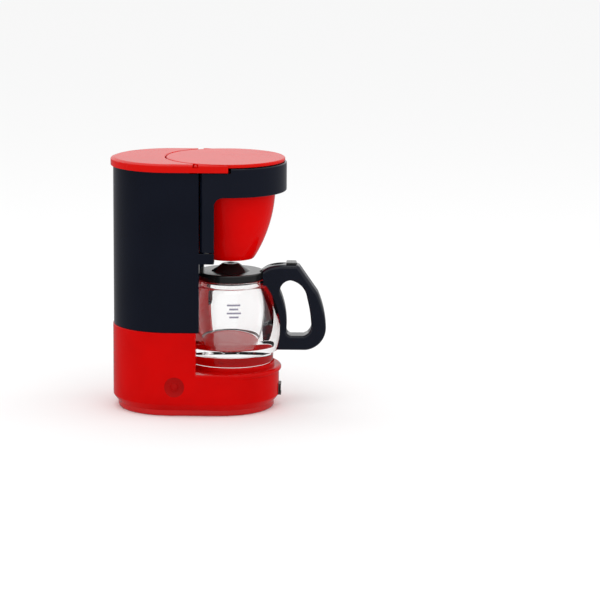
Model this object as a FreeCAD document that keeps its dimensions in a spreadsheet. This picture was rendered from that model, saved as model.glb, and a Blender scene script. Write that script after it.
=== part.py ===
import FreeCAD, Part
import os
import re
import Sketcher
from FreeCAD import Vector

# Toy drip coffee maker, in millimetres.
# +Z is up, the front with the carafe handle faces -Y, and the origin is on the
# ground, under the middle of the straight part of the base.

doc = FreeCAD.newDocument("ToyCoffeeMaker")
sheet = doc.addObject("Spreadsheet::Sheet", "Sizes")

# Every driving size: name, value, what it measures
SIZES = [
    ("bay_gap", 0.7, "clearance round the carafe in the bay"),
    ("bay_rim", 1.5, "red base beside the bay, at its widest"),
    ("column_inset", 0.2, "how far the dark column stands in from the base's sides"),
    ("rear_centre", 5.8, "centre of the round rear end, behind the origin"),
    ("base_front_centre", 5.35, "centre of the base's round front end"),
    ("head_centre", 7.2, "centre of the head's round front end"),
    ("bay_shift", 0.8, "centre of the carafe and the basket, before the head's centre"),
    ("plinth_top", 1.4, "thickness of the bottom cover, up to the base housing"),
    ("plinth_inset", 1.2, "how far the plinth stands in from the base's sides"),
    ("belt_rise", 1.6, "height of the sloped belt over the plinth"),
    ("plinth_round", 0.5, "round at the plinth's lower edge"),
    ("tray_top", 10.15, "top of the tray that the carafe stands over"),
    ("tray_lip", 1.3, "height of the tray's proud front lip"),
    ("lip_inset", 0.1, "lip's radius under the base's"),
    ("lip_shift", 0.65, "how far the lip stands forward"),
    ("plate_rise", 0.85, "raised warming plate over the tray"),
    ("plate_radius", 10.6, "radius of the warming plate"),
    ("step_front", 0.3, "front of the base's tall rear block"),
    ("seam", 20.2, "joint between the red base and the dark column"),
    ("tongue_rise", 10.4, "red tongue behind the carafe, over the seam"),
    ("tongue_half", 10.0, "half width of the tongue"),
    ("tongue_gap", 0.1, "clearance round the tongue"),
    ("base_wall", 1.8, "wall of the base housing"),
    ("cover_gap", 0.15, "clearance round the bottom cover's rim"),
    ("rim_width", 1.0, "width of the bottom cover's rim"),
    ("rim_rise", 1.0, "height of the bottom cover's rim"),
    ("rim_root", 0.2, "how deep that rim is rooted in the cover's plate"),
    ("boss_radius", 1.9, "screw boss"),
    ("pilot_gap", 0.05, "pilot hole round a screw"),
    ("passage_gap", 0.25, "clearance hole round a screw"),
    ("shank_radius", 0.7, "screw shank"),
    ("screw_head_radius", 1.6, "screw head"),
    ("recess_gap", 0.15, "recess round a screw head in the cover"),
    ("screw_head_rise", 0.8, "height of a screw head"),
    ("screw_slot", 0.35, "width and depth of the slot in a screw head"),
    ("head_sink", 0.1, "cover screw heads over the cover's underside"),
    ("shank_gap", 0.3, "end of a screw short of its length"),
    ("cover_screw_length", 5.0, "cover screw under its head"),
    ("cover_screw_side", 6.5, "cover screws from the middle plane"),
    ("cover_screw_front", 5.15, "front cover screws, before the centre of the round front end"),
    ("boss_clearance", 0.33, "rear screw bosses inside the bottom cover's rim"),
    ("column_screw_length", 7.0, "column screw under its head"),
    ("column_screw_side", 9.4, "column screws from the middle plane"),
    ("head_clearance", 0.33, "column screw heads behind the channel's wall"),
    ("column_boss_rise", 6.6, "screw boss on the column's floor"),
    ("gate_side", 4.8, "moulding mark on the base's side, behind the origin"),
    ("gate_height", 7.2, "height of the moulding mark"),
    ("gate_radius", 2.35, "radius of the moulding mark's dish"),
    ("gate_nub", 0.8, "radius of the nub in the dish"),
    ("gate_depth", 0.35, "depth of the dish"),
    ("switch_middle", 4.2, "height of the rocker switch's axis"),
    ("switch_tall", 2.7, "height of the rocker"),
    ("switch_half", 1.8, "half width of the rocker"),
    ("switch_gap", 0.15, "clearance round the rocker"),
    ("window_depth", 2.34, "depth of the rocker's window in the base"),
    ("switch_inset", 0.9, "rocker axis behind the base's front"),
    ("switch_proud", 0.55, "how far the rocker stands out"),
    ("switch_back", 0.8, "rocker behind its axis"),
    ("switch_dip", 0.3, "hollow across the rocker's face"),
    ("switch_pin", 0.35, "radius of the rocker's stub pins"),
    ("switch_pin_reach", 0.6, "length of each stub pin"),
    ("pin_clearance", 0.06, "running clearance round every pin"),
    ("column_front", 0.9, "front face of the column, before the origin"),
    ("column_wall", 1.2, "wall of the column"),
    ("column_top", 59.25, "rim of the column, under the lid"),
    ("column_low_back", 1.2, "back end of that lower rim, behind the origin"),
    ("cover_relief_depth", 5.65, "dip in the column's front wall for the filter cover"),
    ("cover_relief_half", 10.7, "half width of that dip"),
    ("cover_relief_front", 0.45, "front end of that dip"),
    ("cover_relief_back", 0.3, "back end of that dip, behind the channel's wall"),
    ("ledge_bottom", 36.6, "underside of the two ledges under the holder"),
    ("ledge_rise", 2.55, "thickness of the ledges"),
    ("ledge_gap", 0.15, "clearance over the ledges"),
    ("strip_width", 3.2, "side strips and ledges, across"),
    ("strip_front", 4.6, "front of the side strips and ledges"),
    ("back_gap", 0.25, "clearance between column and filter holder"),
    ("knuckle_radius", 1.6, "round outer rear corner of the hinge strip"),
    ("hinge_pin_radius", 0.7, "vertical hinge pin"),
    ("hinge_pin_cover", 1.8, "top of the hinge pin below the band"),
    ("hinge_bore_room", 0.4, "hinge bore over the top of its pin"),
    ("pin_seat_gap", 0.02, "clearance of the hinge pin in its ledge"),
    ("band_rise", 6.9, "height of the head's dark band"),
    ("band_gap", 0.05, "top of the band below the column's rim"),
    ("skirt_gap", 0.15, "clearance inside the lid's skirt"),
    ("skirt_clearance", 0.25, "clearance under the lid's skirt"),
    ("horn_gap", 0.65, "lowered band before the ends of the lid's skirt"),
    ("band_wall", 1.3, "wall of the band"),
    ("holder_floor", 2.0, "thickness of the floor that carries the basket"),
    ("holder_gap", 0.35, "clearance of the holder's round back in the channel"),
    ("holder_open_half", 11.6, "half width of the holder's open back"),
    ("window_round", 1.9, "round between strip and band"),
    ("flange_gap", 0.5, "clearance between the basket's flange and the band"),
    ("flange_width", 0.65, "seat of the basket's flange on the holder's floor"),
    ("flange_rise", 0.8, "thickness of the flange"),
    ("basket_gap", 0.23, "clearance of the basket in its hole"),
    ("nozzle_rise", 1.0, "tip of the nozzle below the basket's lower edge"),
    ("basket_bottom_radius", 5.66, "radius at that edge"),
    ("basket_curve", 33.0, "radius of the basket's bowed side"),
    ("basket_wall", 0.9, "wall of the basket"),
    ("basket_dome", 0.45, "how far the basket's floor bows down"),
    ("drip_gap", 0.5, "clearance between nozzle and carafe lid"),
    ("nozzle_radius", 0.95, "drip nozzle"),
    ("drip_radius", 0.4, "bore of the drip nozzle"),
    ("lid_thickness", 0.95, "plate of the tank lid"),
    ("skirt_drop", 0.95, "how far the lid's skirt reaches down"),
    ("skirt_wall", 0.45, "wall of the skirt"),
    ("horn_front", 7.9, "front ends of the skirt, before the origin"),
    ("lid_bevel_rise", 0.35, "height of the bevel round the lid"),
    ("lid_bevel_width", 1.0, "width of the bevel round the lid"),
    ("disc_setback", 0.4, "centre of the filter cover behind the head's centre"),
    ("disc_gap", 0.25, "clearance between filter cover and tank lid"),
    ("disc_rise", 0.15, "filter cover over the column's rim"),
    ("disc_thickness", 0.8, "thickness of the filter cover"),
    ("disc_bevel", 0.2, "bevel round the filter cover"),
    ("cover_axis_front", 0.3, "axis of the filter cover, before the origin"),
    ("cover_axis_drop", 0.1, "that axis below the filter cover's underside"),
    ("cover_pin_radius", 0.6, "radius of the filter cover's two stub pins"),
    ("slot_mouth", 0.4, "open outer ends of the slots, below the lid's bevel"),
    ("bearing_floor", 0.24, "bearing blocks under the slots"),
    ("bearing_root", 0.1, "how deep the bearing blocks are rooted in the lid's plate"),
    ("stub_gap", 0.12, "stub pins inside the lid's skirt"),
    ("stub_root", 3.6, "how far the stub pins are rooted in the filter cover"),
    ("bearing_half", 1.2, "half width of the bearing blocks, front to back"),
    ("glass_belly_radius", 12.1, "widest part of the carafe"),
    ("belly_rise", 8.4, "height of the widest part over the foot"),
    ("glass_lower_curve", 19.5, "radius of the carafe's side below its widest part"),
    ("glass_upper_curve", 17.4, "radius of the carafe's side above it"),
    ("shoulder_rise", 18.5, "height over the foot where the neck starts"),
    ("neck_step", 0.77, "flat shoulder round the neck"),
    ("neck_rise", 1.4, "height of the neck"),
    ("glass_wall", 0.9, "wall of the carafe's neck"),
    ("cavity_foot", 6.8, "foot of the carafe's tapered cavity, whose walls are thick"),
    ("glass_base", 4.0, "thickness of the carafe's base"),
    ("foot_recess", 0.2, "hollow under the carafe"),
    ("foot_ring", 1.4, "width of the ring that the carafe stands on"),
    ("plug_gap", 0.15, "clearance of the carafe lid's plug in the neck"),
    ("plug_depth", 0.6, "depth of the plug"),
    ("plug_wall", 0.8, "wall of the plug"),
    ("carafe_lid_step", 0.15, "carafe lid's radius under the neck's"),
    ("carafe_lid_thickness", 1.9, "carafe lid over the neck's rim"),
    ("carafe_lid_edge", 0.4, "width of the bevel round the carafe lid"),
    ("carafe_lid_bevel", 0.3, "height of that bevel"),
    ("dome_radius", 4.3, "foot of the boss on the carafe lid"),
    ("dome_top_radius", 1.7, "flat top of the boss"),
    ("dome_rise", 1.8, "height of the boss"),
    ("drip_hole", 0.8, "hole that the coffee drips into"),
    ("arm_half", 1.15, "half width of the carafe lid's arm"),
    ("arm_gap", 0.15, "clearance beside the arm"),
    ("arm_foot", 1.0, "how far the arm reaches onto the lid and past its pin"),
    ("arm_drop", 0.5, "rise of the arm's slanted back"),
    ("tab_half", 1.9, "half width of the thumb tab"),
    ("tab_start", 1.2, "thumb tab, beyond the carafe's widest part"),
    ("tab_end", 3.6, "outer end of the thumb tab, beyond the widest part"),
    ("tab_rise", 0.55, "height of the thumb tab over the handle"),
    ("handle_half", 2.6, "half thickness of the handle"),
    ("handle_gap", 0.05, "glue line between handle and carafe"),
    ("handle_rise", 1.7, "top of the handle over the carafe lid"),
    ("handle_tip", 6.7, "tip of the handle's fork over the lid, from the carafe's axis"),
    ("handle_tip_drop", 0.6, "that tip below the top of the lid"),
    ("handle_tip_curve", 6.0, "radius of the fork's curved back"),
    ("handle_brow", 9.6, "end of that curve, from the carafe's axis"),
    ("handle_brow_drop", 0.35, "that end below the handle's top"),
    ("handle_brow_curve", 12.0, "radius from there up to the flat top"),
    ("handle_crown", 3.8, "outer end of the flat top, beyond the carafe's widest part"),
    ("handle_slant", 8.8, "lower end of the slanted top, beyond the widest part"),
    ("handle_slant_rise", 16.7, "height of that end over the foot"),
    ("handle_back_curve", 24.0, "radius of the handle's back below it"),
    ("handle_reach", 10.75, "outermost point of the handle, beyond the widest part"),
    ("handle_widest_rise", 8.0, "height of that point over the foot"),
    ("handle_heel_curve", 5.4, "radius of the round lower corner"),
    ("handle_heel", 5.9, "outer end of the flat foot, beyond the widest part"),
    ("handle_foot_rise", 2.9, "underside of the handle over the carafe's foot"),
    ("grip_neck", 0.3, "finger hole's inner side at its top, inside the widest part"),
    ("grip_neck_rise", 17.2, "height of that point over the foot"),
    ("grip_inner_curve", 20.0, "radius of the finger hole's inner side"),
    ("grip_belly", 1.3, "finger hole's inner side at its foot, beyond the widest part"),
    ("grip_belly_rise", 7.6, "height of that point over the foot"),
    ("grip_inner_corner", 1.3, "radius of the finger hole's inner lower corner"),
    ("grip_floor_start", 2.5, "inner end of the finger hole's flat floor"),
    ("grip_floor_end", 5.3, "outer end of that floor, beyond the widest part"),
    ("grip_floor_rise", 6.4, "height of that floor over the foot"),
    ("grip_outer_corner", 2.6, "radius of the finger hole's outer lower corner"),
    ("grip_outer", 7.2, "finger hole's outer side, beyond the widest part"),
    ("grip_outer_rise", 9.4, "height of that point over the foot"),
    ("grip_outer_curve", 30.0, "radius of the finger hole's outer side"),
    ("grip_brow", 6.2, "upper end of the outer side, beyond the widest part"),
    ("grip_brow_rise", 15.6, "height of that point over the foot"),
    ("grip_brow_curve", 4.8, "radius of the finger hole's top"),
    ("grip_crown", 2.3, "top point of the finger hole, beyond the widest part"),
    ("grip_crown_rise", 19.8, "height of that point over the foot"),
    ("grip_crown_curve", 2.7, "radius of the finger hole's inner upper corner"),
    ("lid_pin_radius", 0.45, "pin through the carafe lid's arm"),
    ("pin_inset", 0.1, "ends of that pin inside the handle's sides"),
    ("lid_pin_reach", 0.8, "that pin, beyond the carafe's widest part"),
    ("lid_pin_drop", 1.3, "that pin below the handle's top"),
]
for row, (alias, value, words) in enumerate(SIZES, 1):
    sheet.set("A%d" % row, words)
    sheet.set("B%d" % row, str(value))
    sheet.setAlias("B%d" % row, alias)
doc.recompute()
NAMES = {alias for alias, value, words in SIZES}

# What follows from the sizes: name, expression, what it is
FOLLOWS = {name: expression for name, expression, words in [
    ("past", "1", "how far an outline that cuts reaches past the piece"),
    ("bay_radius", "glass_belly_radius + bay_gap", "hollow channel down the front"),
    ("bay_centre", "head_centre + bay_shift", "centre of the bay, before the origin"),
    ("base_radius", "bay_radius + bay_rim", "half width of the base"),
    ("column_radius", "base_radius - column_inset", "half width of the column and the head"),
    ("lip_radius", "base_radius - lip_inset", "radius of the tray's lip"),
    ("lip_centre", "base_front_centre + lip_shift", "centre of the lip"),
    ("tongue_top", "seam + tongue_rise", "top of the tongue"),
    ("pilot_radius", "shank_radius + pilot_gap", "pilot hole"),
    ("passage_radius", "shank_radius + passage_gap", "clearance hole"),
    ("head_recess_radius", "screw_head_radius + recess_gap", "recess for a screw head"),
    ("rim_inside", "base_radius - base_wall - cover_gap - rim_width", "inside of the cover's rim"),
    ("boss_ring", "rim_inside - boss_radius - boss_clearance", "rear screws from the end's centre"),
    ("cover_screw_rear", "rear_centre + sqrt(boss_ring ^ 2 - cover_screw_side ^ 2)",
     "rear cover screws, behind the origin"),
    ("head_ring", "bay_radius + base_wall + screw_head_radius + head_clearance",
     "column screws from the bay's centre"),
    ("column_screw_rear", "sqrt(head_ring ^ 2 - column_screw_side ^ 2) - bay_centre",
     "column screws, behind the origin"),
    ("skirt_bottom", "column_top - skirt_drop", "lower edge of the tank lid"),
    ("band_low_top", "skirt_bottom - skirt_clearance", "lowered top of the band"),
    ("column_low_top", "band_low_top - band_gap", "lowered rim of the column"),
    ("band_low_front", "horn_front + horn_gap", "front end of the lowered band"),
    ("band_top", "column_top - band_gap", "top of the band"),
    ("band_bottom", "band_top - band_rise", "underside of the band"),
    ("cover_relief_floor", "column_top - cover_relief_depth", "floor of the column's dip"),
    ("ledge_top", "ledge_bottom + ledge_rise", "top of the ledges"),
    ("strip_bottom", "ledge_top + ledge_gap", "foot of the side strips"),
    ("holder_rear", "column_front + back_gap", "rear face of the holder"),
    ("hinge_pin_top", "band_bottom - hinge_pin_cover", "top of the hinge pin"),
    ("lid_radius", "column_radius + skirt_gap + skirt_wall", "half width of the tank lid"),
    ("lid_top", "column_top + lid_thickness", "top of the tank lid"),
    ("disc_centre", "head_centre - disc_setback", "centre of the filter cover"),
    ("disc_radius", "column_radius", "radius of the filter cover"),
    ("disc_bottom", "column_top + disc_rise", "underside of the filter cover"),
    ("disc_top", "disc_bottom + disc_thickness", "top of the filter cover"),
    ("cover_axis_height", "disc_bottom - cover_axis_drop", "height of the filter cover's axis"),
    ("slot_end", "column_radius + skirt_gap", "outer end of the lid's slots"),
    ("bearing_bottom", "cover_axis_height - cover_pin_radius - pin_clearance - bearing_floor",
     "underside of the bearing blocks"),
    ("glass_foot", "tray_top + plate_rise", "height that the carafe stands at"),
    ("glass_belly", "glass_foot + belly_rise", "height of the carafe's widest part"),
    ("glass_shoulder", "glass_foot + shoulder_rise", "height where the neck starts"),
    ("glass_floor", "glass_foot + glass_base", "inner floor of the carafe"),
    ("lower_middle", "glass_belly_radius - glass_lower_curve", "centre of the lower curve"),
    ("upper_middle", "glass_belly_radius - glass_upper_curve", "centre of the upper curve"),
    ("foot_radius", "lower_middle + sqrt(glass_lower_curve ^ 2 - belly_rise ^ 2)",
     "foot of the carafe"),
    ("shoulder_radius",
     "upper_middle + sqrt(glass_upper_curve ^ 2 - (glass_shoulder - glass_belly) ^ 2)",
     "carafe at its shoulder"),
    ("neck_radius", "shoulder_radius - neck_step", "neck of the carafe"),
    ("neck_top", "glass_shoulder + neck_rise", "rim of the neck"),
    ("carafe_lid_radius", "neck_radius - carafe_lid_step", "carafe lid"),
    ("carafe_lid_top", "neck_top + carafe_lid_thickness", "top of the carafe lid"),
    ("dome_top", "carafe_lid_top + dome_rise", "top of its boss"),
    ("nozzle_bottom", "dome_top + drip_gap", "tip of the drip nozzle"),
    ("basket_bottom", "nozzle_bottom + nozzle_rise", "lower edge of the basket's side"),
    ("basket_hole", "column_radius - band_wall - bay_shift - flange_gap - flange_width",
     "hole in the holder's floor"),
    ("basket_flange", "basket_hole + flange_width", "radius of the basket's flange"),
    ("basket_top_radius", "basket_hole - basket_gap", "basket where it meets the band"),
    ("handle_top", "carafe_lid_top + handle_rise", "top of the handle"),
    ("tab_top", "handle_top + tab_rise", "top of the thumb tab"),
    ("lid_pin_place", "glass_belly_radius + lid_pin_reach", "lid pin from the carafe's axis"),
    ("lid_pin_height", "handle_top - lid_pin_drop", "height of the lid pin"),
]}


def size(expression):
    """The expression with each name pointing into the sheet, and what follows written out."""
    def point(match):
        word = match.group(0)
        if word in FOLLOWS:
            return "(%s)" % size(FOLLOWS[word])
        return "Sizes." + word if word in NAMES else word
    return re.sub(r"[a-z][a-z_]*", point, expression)


def number(expression):
    """What an expression of sizes comes to now."""
    return float(sheet.evalExpression(size(expression)))


def bind(thing, **expressions):
    """Bind properties to expressions of sizes."""
    for name, expression in expressions.items():
        thing.setExpression(name, size(expression))
    return thing


def place(thing, x="0", y="0", z="0"):
    """Bind the place of an object to expressions of sizes."""
    for axis, expression in zip("xyz", (x, y, z)):
        thing.setExpression("Placement.Base." + axis, size(expression))
    return thing


def new_body(label, y="0"):
    """A body whose own origin stands on the ground at y."""
    body = doc.addObject("PartDesign::Body", label)
    body.Label = label
    return place(body, y=y)


def new_sketch(body, name, plane="XY_Plane", offset="0"):
    """A sketch on one of the body's own planes, moved along its normal."""
    sketch = body.newObject("Sketcher::SketchObject", name)
    support = [part for part in body.Origin.OriginFeatures if part.Role == plane][0]
    sketch.AttachmentSupport = [(support, "")]
    sketch.MapMode = "FlatFace"
    sketch.setExpression("AttachmentOffset.Base.z", size(offset))
    return sketch


def pin_point(sketch, geometry, end, x, y):
    """Tie a sketch point to a place given by two expressions."""
    for kind, axis, expression in (("DistanceX", -2, x), ("DistanceY", -1, y)):
        if expression == "0":
            sketch.addConstraint(Sketcher.Constraint("PointOnObject", geometry, end, axis))
        else:
            tie = Sketcher.Constraint(kind, -1, 1, geometry, end, number(expression))
            index = sketch.addConstraint(tie)
            sketch.setExpression("Constraints[%d]" % index, size(expression))


def circle(sketch, radius, x="0", y="0"):
    """A circle of a named radius about a named point."""
    centre = Vector(number(x), number(y), 0)
    geometry = sketch.addGeometry(Part.Circle(centre, Vector(0, 0, 1), number(radius)))
    pin_point(sketch, geometry, 3, x, y)
    index = sketch.addConstraint(Sketcher.Constraint("Radius", geometry, number(radius)))
    sketch.setExpression("Constraints[%d]" % index, size(radius))


def arc_middle(start, end, radius):
    """Middle of the short arc of a signed radius: positive bows to the right."""
    chord = end - start
    half = chord.Length / 2
    rise = abs(radius) - (max(radius * radius - half * half, 0)) ** 0.5
    side = Vector(chord.y, -chord.x, 0).normalize()
    return (start + end) * 0.5 + side * (rise if radius > 0 else -rise)


def outline(sketch, corners):
    """A closed outline through named corners.

    Each corner is (x, y) where a straight side follows, or (x, y, radius, side)
    where a short arc follows that bows to the "right" or "left" of the way on.
    """
    points = [Vector(number(corner[0]), number(corner[1]), 0) for corner in corners]
    ends = []
    for index, corner in enumerate(corners):
        start, end = points[index], points[(index + 1) % len(points)]
        if len(corner) == 2:
            geometry = sketch.addGeometry(Part.LineSegment(start, end))
            ends.append((geometry, 1, 2))
            continue
        radius = number(corner[2]) * (1 if corner[3] == "right" else -1)
        geometry = sketch.addGeometry(Part.Arc(start, arc_middle(start, end, radius), end))
        first_is_start = sketch.getPoint(geometry, 1).distanceToPoint(start) < 1e-6
        ends.append((geometry, 1, 2) if first_is_start else (geometry, 2, 1))
    for index, corner in enumerate(corners):
        geometry, first, last = ends[index]
        following, next_first, next_last = ends[(index + 1) % len(ends)]
        sketch.addConstraint(Sketcher.Constraint("Coincident", geometry, last, following, next_first))
        pin_point(sketch, geometry, first, corner[0], corner[1])
        if len(corner) == 4:
            tie = Sketcher.Constraint("Radius", geometry, number(corner[2]))
            constraint = sketch.addConstraint(tie)
            sketch.setExpression("Constraints[%d]" % constraint, size(corner[2]))


def box_outline(sketch, low_x, high_x, low_y, high_y):
    """A rectangle between named sides."""
    outline(sketch, [(low_x, low_y), (high_x, low_y), (high_x, high_y), (low_x, high_y)])


def stadium(sketch, radius, rear, front):
    """A rectangle with round ends, centred rear behind and front before the origin."""
    outline(sketch, [
        ("-(%s)" % radius, "-(%s)" % front),
        ("-(%s)" % radius, rear, radius, "left"),
        ("0", "%s + %s" % (rear, radius), radius, "left"),
        (radius, rear),
        (radius, "-(%s)" % front, radius, "left"),
        ("0", "-(%s) - (%s)" % (front, radius), radius, "left"),
    ])


def rear_room(sketch, radius, front, channel):
    """The room behind the curved channel: round at the rear, hollow at the front."""
    corner = "sqrt((%s) ^ 2 - (bay_centre + %s) ^ 2)" % (channel, front)
    outline(sketch, [
        ("-(%s)" % radius, front),
        ("-(%s)" % radius, "rear_centre", radius, "left"),
        ("0", "rear_centre + %s" % radius, radius, "left"),
        (radius, "rear_centre"),
        (radius, front),
        (corner, front, channel, "right"),
        ("0", "%s - bay_centre" % channel, channel, "right"),
        ("-" + corner, front),
    ])


def tongue_outline(sketch, half, inner, outer):
    """A curved strip that follows the channel's back wall."""
    inner_y = "sqrt((%s) ^ 2 - (%s) ^ 2) - bay_centre" % (inner, half)
    outer_y = "sqrt((%s) ^ 2 - (%s) ^ 2) - bay_centre" % (outer, half)
    outline(sketch, [
        ("-(%s)" % half, outer_y, outer, "left"),
        (half, outer_y),
        (half, inner_y, inner, "right"),
        ("-(%s)" % half, inner_y),
    ])


def finish(feature, sketch):
    """Hide the sketch that a feature used, and bring the document up to date."""
    sketch.Visibility = False
    doc.recompute()
    return feature


def pad(body, name, sketch, length, both_ways=False):
    """Add the sketch's outline, up along its normal or to both sides of it."""
    feature = body.newObject("PartDesign::Pad", name)
    feature.Profile = sketch
    bind(feature, Length=length)
    if both_ways:
        feature.Midplane = True
    return finish(feature, sketch)


def cut(body, name, sketch, length, ahead=False, both_ways=False):
    """Take the sketch's outline away: against its normal, ahead of it, or both ways."""
    before = body.Tip.Shape.Volume
    feature = body.newObject("PartDesign::Pocket", name)
    feature.Profile = sketch
    bind(feature, Length=length)
    feature.Reversed = ahead
    if both_ways:
        feature.Midplane = True
    finish(feature, sketch)
    if feature.Shape.Volume > before - 1e-6:
        raise RuntimeError(name + " took nothing away")
    return feature


def turn(body, name, sketch, kind="PartDesign::Revolution"):
    """Turn the sketch's outline all the way round its upright axis."""
    feature = body.newObject(kind, name)
    feature.Profile = sketch
    feature.ReferenceAxis = (sketch, ["V_Axis"])
    feature.Angle = 360
    return finish(feature, sketch)


def edges_where(shape, test):
    """Names of the edges whose middle passes a test."""
    names = []
    for index, edge in enumerate(shape.Edges, 1):
        middle = edge.valueAt((edge.FirstParameter + edge.LastParameter) / 2)
        if test(middle, edge):
            names.append("Edge%d" % index)
    return names


def dress(body, kind, name, base, edges):
    """A fillet or chamfer on named edges of the last feature."""
    feature = body.newObject("PartDesign::" + kind, name)
    feature.Base = (base, edges)
    return feature


# Red base housing: tray, raised warming plate, tall rear block and tongue
base = new_body("base_housing")
sketch = new_sketch(base, "base_outline", offset="plinth_top")
stadium(sketch, "base_radius", "rear_centre", "base_front_centre")
block = pad(base, "base_block", sketch, "seam - plinth_top")
low_edges = edges_where(block.Shape, lambda middle, edge: abs(middle.z - number("plinth_top")) < 1e-6)
belt = dress(base, "Chamfer", "belt", block, low_edges)
belt.ChamferType = "Two distances"
bind(belt, Size="plinth_inset", Size2="belt_rise")
doc.recompute()

sketch = new_sketch(base, "tray_outline", offset="tray_top")
box_outline(sketch, "-(base_radius + past)", "base_radius + past",
            "-(base_front_centre + base_radius + past)", "-step_front")
cut(base, "tray", sketch, "seam - tray_top + past", ahead=True)
sketch = new_sketch(base, "channel_outline", offset="tray_top")
circle(sketch, "bay_radius", y="-bay_centre")
cut(base, "channel", sketch, "seam - tray_top + past", ahead=True)
sketch = new_sketch(base, "lip_outline", offset="tray_top - tray_lip")
circle(sketch, "lip_radius", y="-lip_centre")
pad(base, "lip", sketch, "tray_lip")
sketch = new_sketch(base, "plate_outline", offset="tray_top")
circle(sketch, "plate_radius", y="-bay_centre")
pad(base, "warming_plate", sketch, "plate_rise")
sketch = new_sketch(base, "tongue_shape", offset="seam - base_wall")
tongue_outline(sketch, "tongue_half", "bay_radius", "bay_radius + column_wall")
pad(base, "tongue", sketch, "tongue_top - seam + base_wall")

sketch = new_sketch(base, "tray_room_outline", offset="plinth_top")
stadium(sketch, "(base_radius - base_wall)", "rear_centre", "base_front_centre")
cut(base, "tray_room", sketch, "tray_top - base_wall - plinth_top", ahead=True)
sketch = new_sketch(base, "rear_room_outline", offset="plinth_top")
rear_room(sketch, "(base_radius - base_wall)", "(base_wall - step_front)",
          "(bay_radius + base_wall)")
cut(base, "rear_room", sketch, "seam - base_wall - plinth_top", ahead=True)

COVER_SCREWS = [(side + "cover_screw_side", end) for side in ("", "-")
                for end in ("-(base_front_centre + cover_screw_front)", "cover_screw_rear")]
COLUMN_SCREWS = [(side + "column_screw_side", "column_screw_rear") for side in ("", "-")]
for index, (x, y) in enumerate(COVER_SCREWS):
    top = "tray_top" if y.startswith("-") else "seam"
    sketch = new_sketch(base, "boss_outline_%d" % index, offset="plinth_top")
    circle(sketch, "boss_radius", x, y)
    pad(base, "boss_%d" % index, sketch, "%s - base_wall / 2 - plinth_top" % top)
sketch = new_sketch(base, "pilot_outline", offset="plinth_top")
for x, y in COVER_SCREWS:
    circle(sketch, "pilot_radius", x, y)
cut(base, "pilots", sketch, "cover_screw_length", ahead=True)
sketch = new_sketch(base, "passage_outline", offset="seam - 2 * base_wall")
for x, y in COLUMN_SCREWS:
    circle(sketch, "passage_radius", x, y)
cut(base, "passages", sketch, "3 * base_wall", ahead=True)

sketch = new_sketch(base, "window_outline", "XZ_Plane", "base_front_centre + base_radius + past")
box_outline(sketch, "-(switch_half + switch_gap)", "switch_half + switch_gap",
            "switch_middle - switch_tall / 2 - switch_gap",
            "switch_middle + switch_tall / 2 + switch_gap")
cut(base, "switch_window", sketch, "window_depth + past")
sketch = new_sketch(base, "switch_bearing_outline", "YZ_Plane")
circle(sketch, "switch_pin + pin_clearance",
       "-(base_front_centre + base_radius - switch_inset)", "switch_middle")
cut(base, "switch_bearings", sketch,
    "2 * (switch_half + switch_pin_reach + switch_gap)", both_ways=True)
sketch = new_sketch(base, "gate_outline", "YZ_Plane", "gate_depth - base_radius")
circle(sketch, "gate_radius", "gate_side", "gate_height")
circle(sketch, "gate_nub", "gate_side", "gate_height")
cut(base, "gate_mark", sketch, "2 * gate_depth")

# Bottom cover: the plinth that closes the base, with a rim that finds its place
cover = new_body("bottom_cover")
sketch = new_sketch(cover, "plinth_outline")
stadium(sketch, "(base_radius - plinth_inset)", "rear_centre", "base_front_centre")
plinth = pad(cover, "plinth", sketch, "plinth_top")
low_edges = edges_where(plinth.Shape, lambda middle, edge: abs(middle.z) < 1e-6)
bind(dress(cover, "Fillet", "plinth_edge", plinth, low_edges), Radius="plinth_round")
doc.recompute()
sketch = new_sketch(cover, "rim_outline", offset="plinth_top - rim_root")
stadium(sketch, "(base_radius - base_wall - cover_gap)", "rear_centre", "base_front_centre")
pad(cover, "rim", sketch, "rim_rise + rim_root")
sketch = new_sketch(cover, "rim_room_outline", offset="plinth_top")
stadium(sketch, "(base_radius - base_wall - cover_gap - rim_width)", "rear_centre",
        "base_front_centre")
cut(cover, "rim_room", sketch, "rim_rise + past", ahead=True)
sketch = new_sketch(cover, "screw_holes_outline")
for x, y in COVER_SCREWS:
    circle(sketch, "passage_radius", x, y)
cut(cover, "screw_holes", sketch, "plinth_top + rim_rise", ahead=True)
sketch = new_sketch(cover, "screw_recess_outline")
for x, y in COVER_SCREWS:
    circle(sketch, "head_recess_radius", x, y)
cut(cover, "screw_recesses", sketch, "screw_head_rise + head_sink", ahead=True)


def screws(label, places, head_bottom, length):
    """Slotted screws that point up, as one group of separate solids."""
    made = []
    for index, (x, y) in enumerate(places):
        name = "%s_%d" % (label, index)
        head = doc.addObject("Part::Cylinder", name + "_head")
        place(bind(head, Radius="screw_head_radius", Height="screw_head_rise"), x, y, head_bottom)
        shank = doc.addObject("Part::Cylinder", name + "_shank")
        place(bind(shank, Radius="shank_radius", Height="%s - shank_gap" % length),
              x, y, "%s + screw_head_rise" % head_bottom)
        slot = doc.addObject("Part::Box", name + "_slot")
        bind(slot, Length="2 * (screw_head_radius + past)", Width="screw_slot", Height="screw_slot")
        place(slot, "%s - screw_head_radius - past" % x, "%s - screw_slot / 2" % y, head_bottom)
        whole = doc.addObject("Part::Fuse", name + "_whole")
        whole.Base = head
        whole.Tool = shank
        slotted = doc.addObject("Part::Cut", name)
        slotted.Base = whole
        slotted.Tool = slot
        made.append(slotted)
    group = doc.addObject("Part::Compound", label)
    group.Links = made
    group.Label = label
    doc.recompute()
    return group


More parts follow.
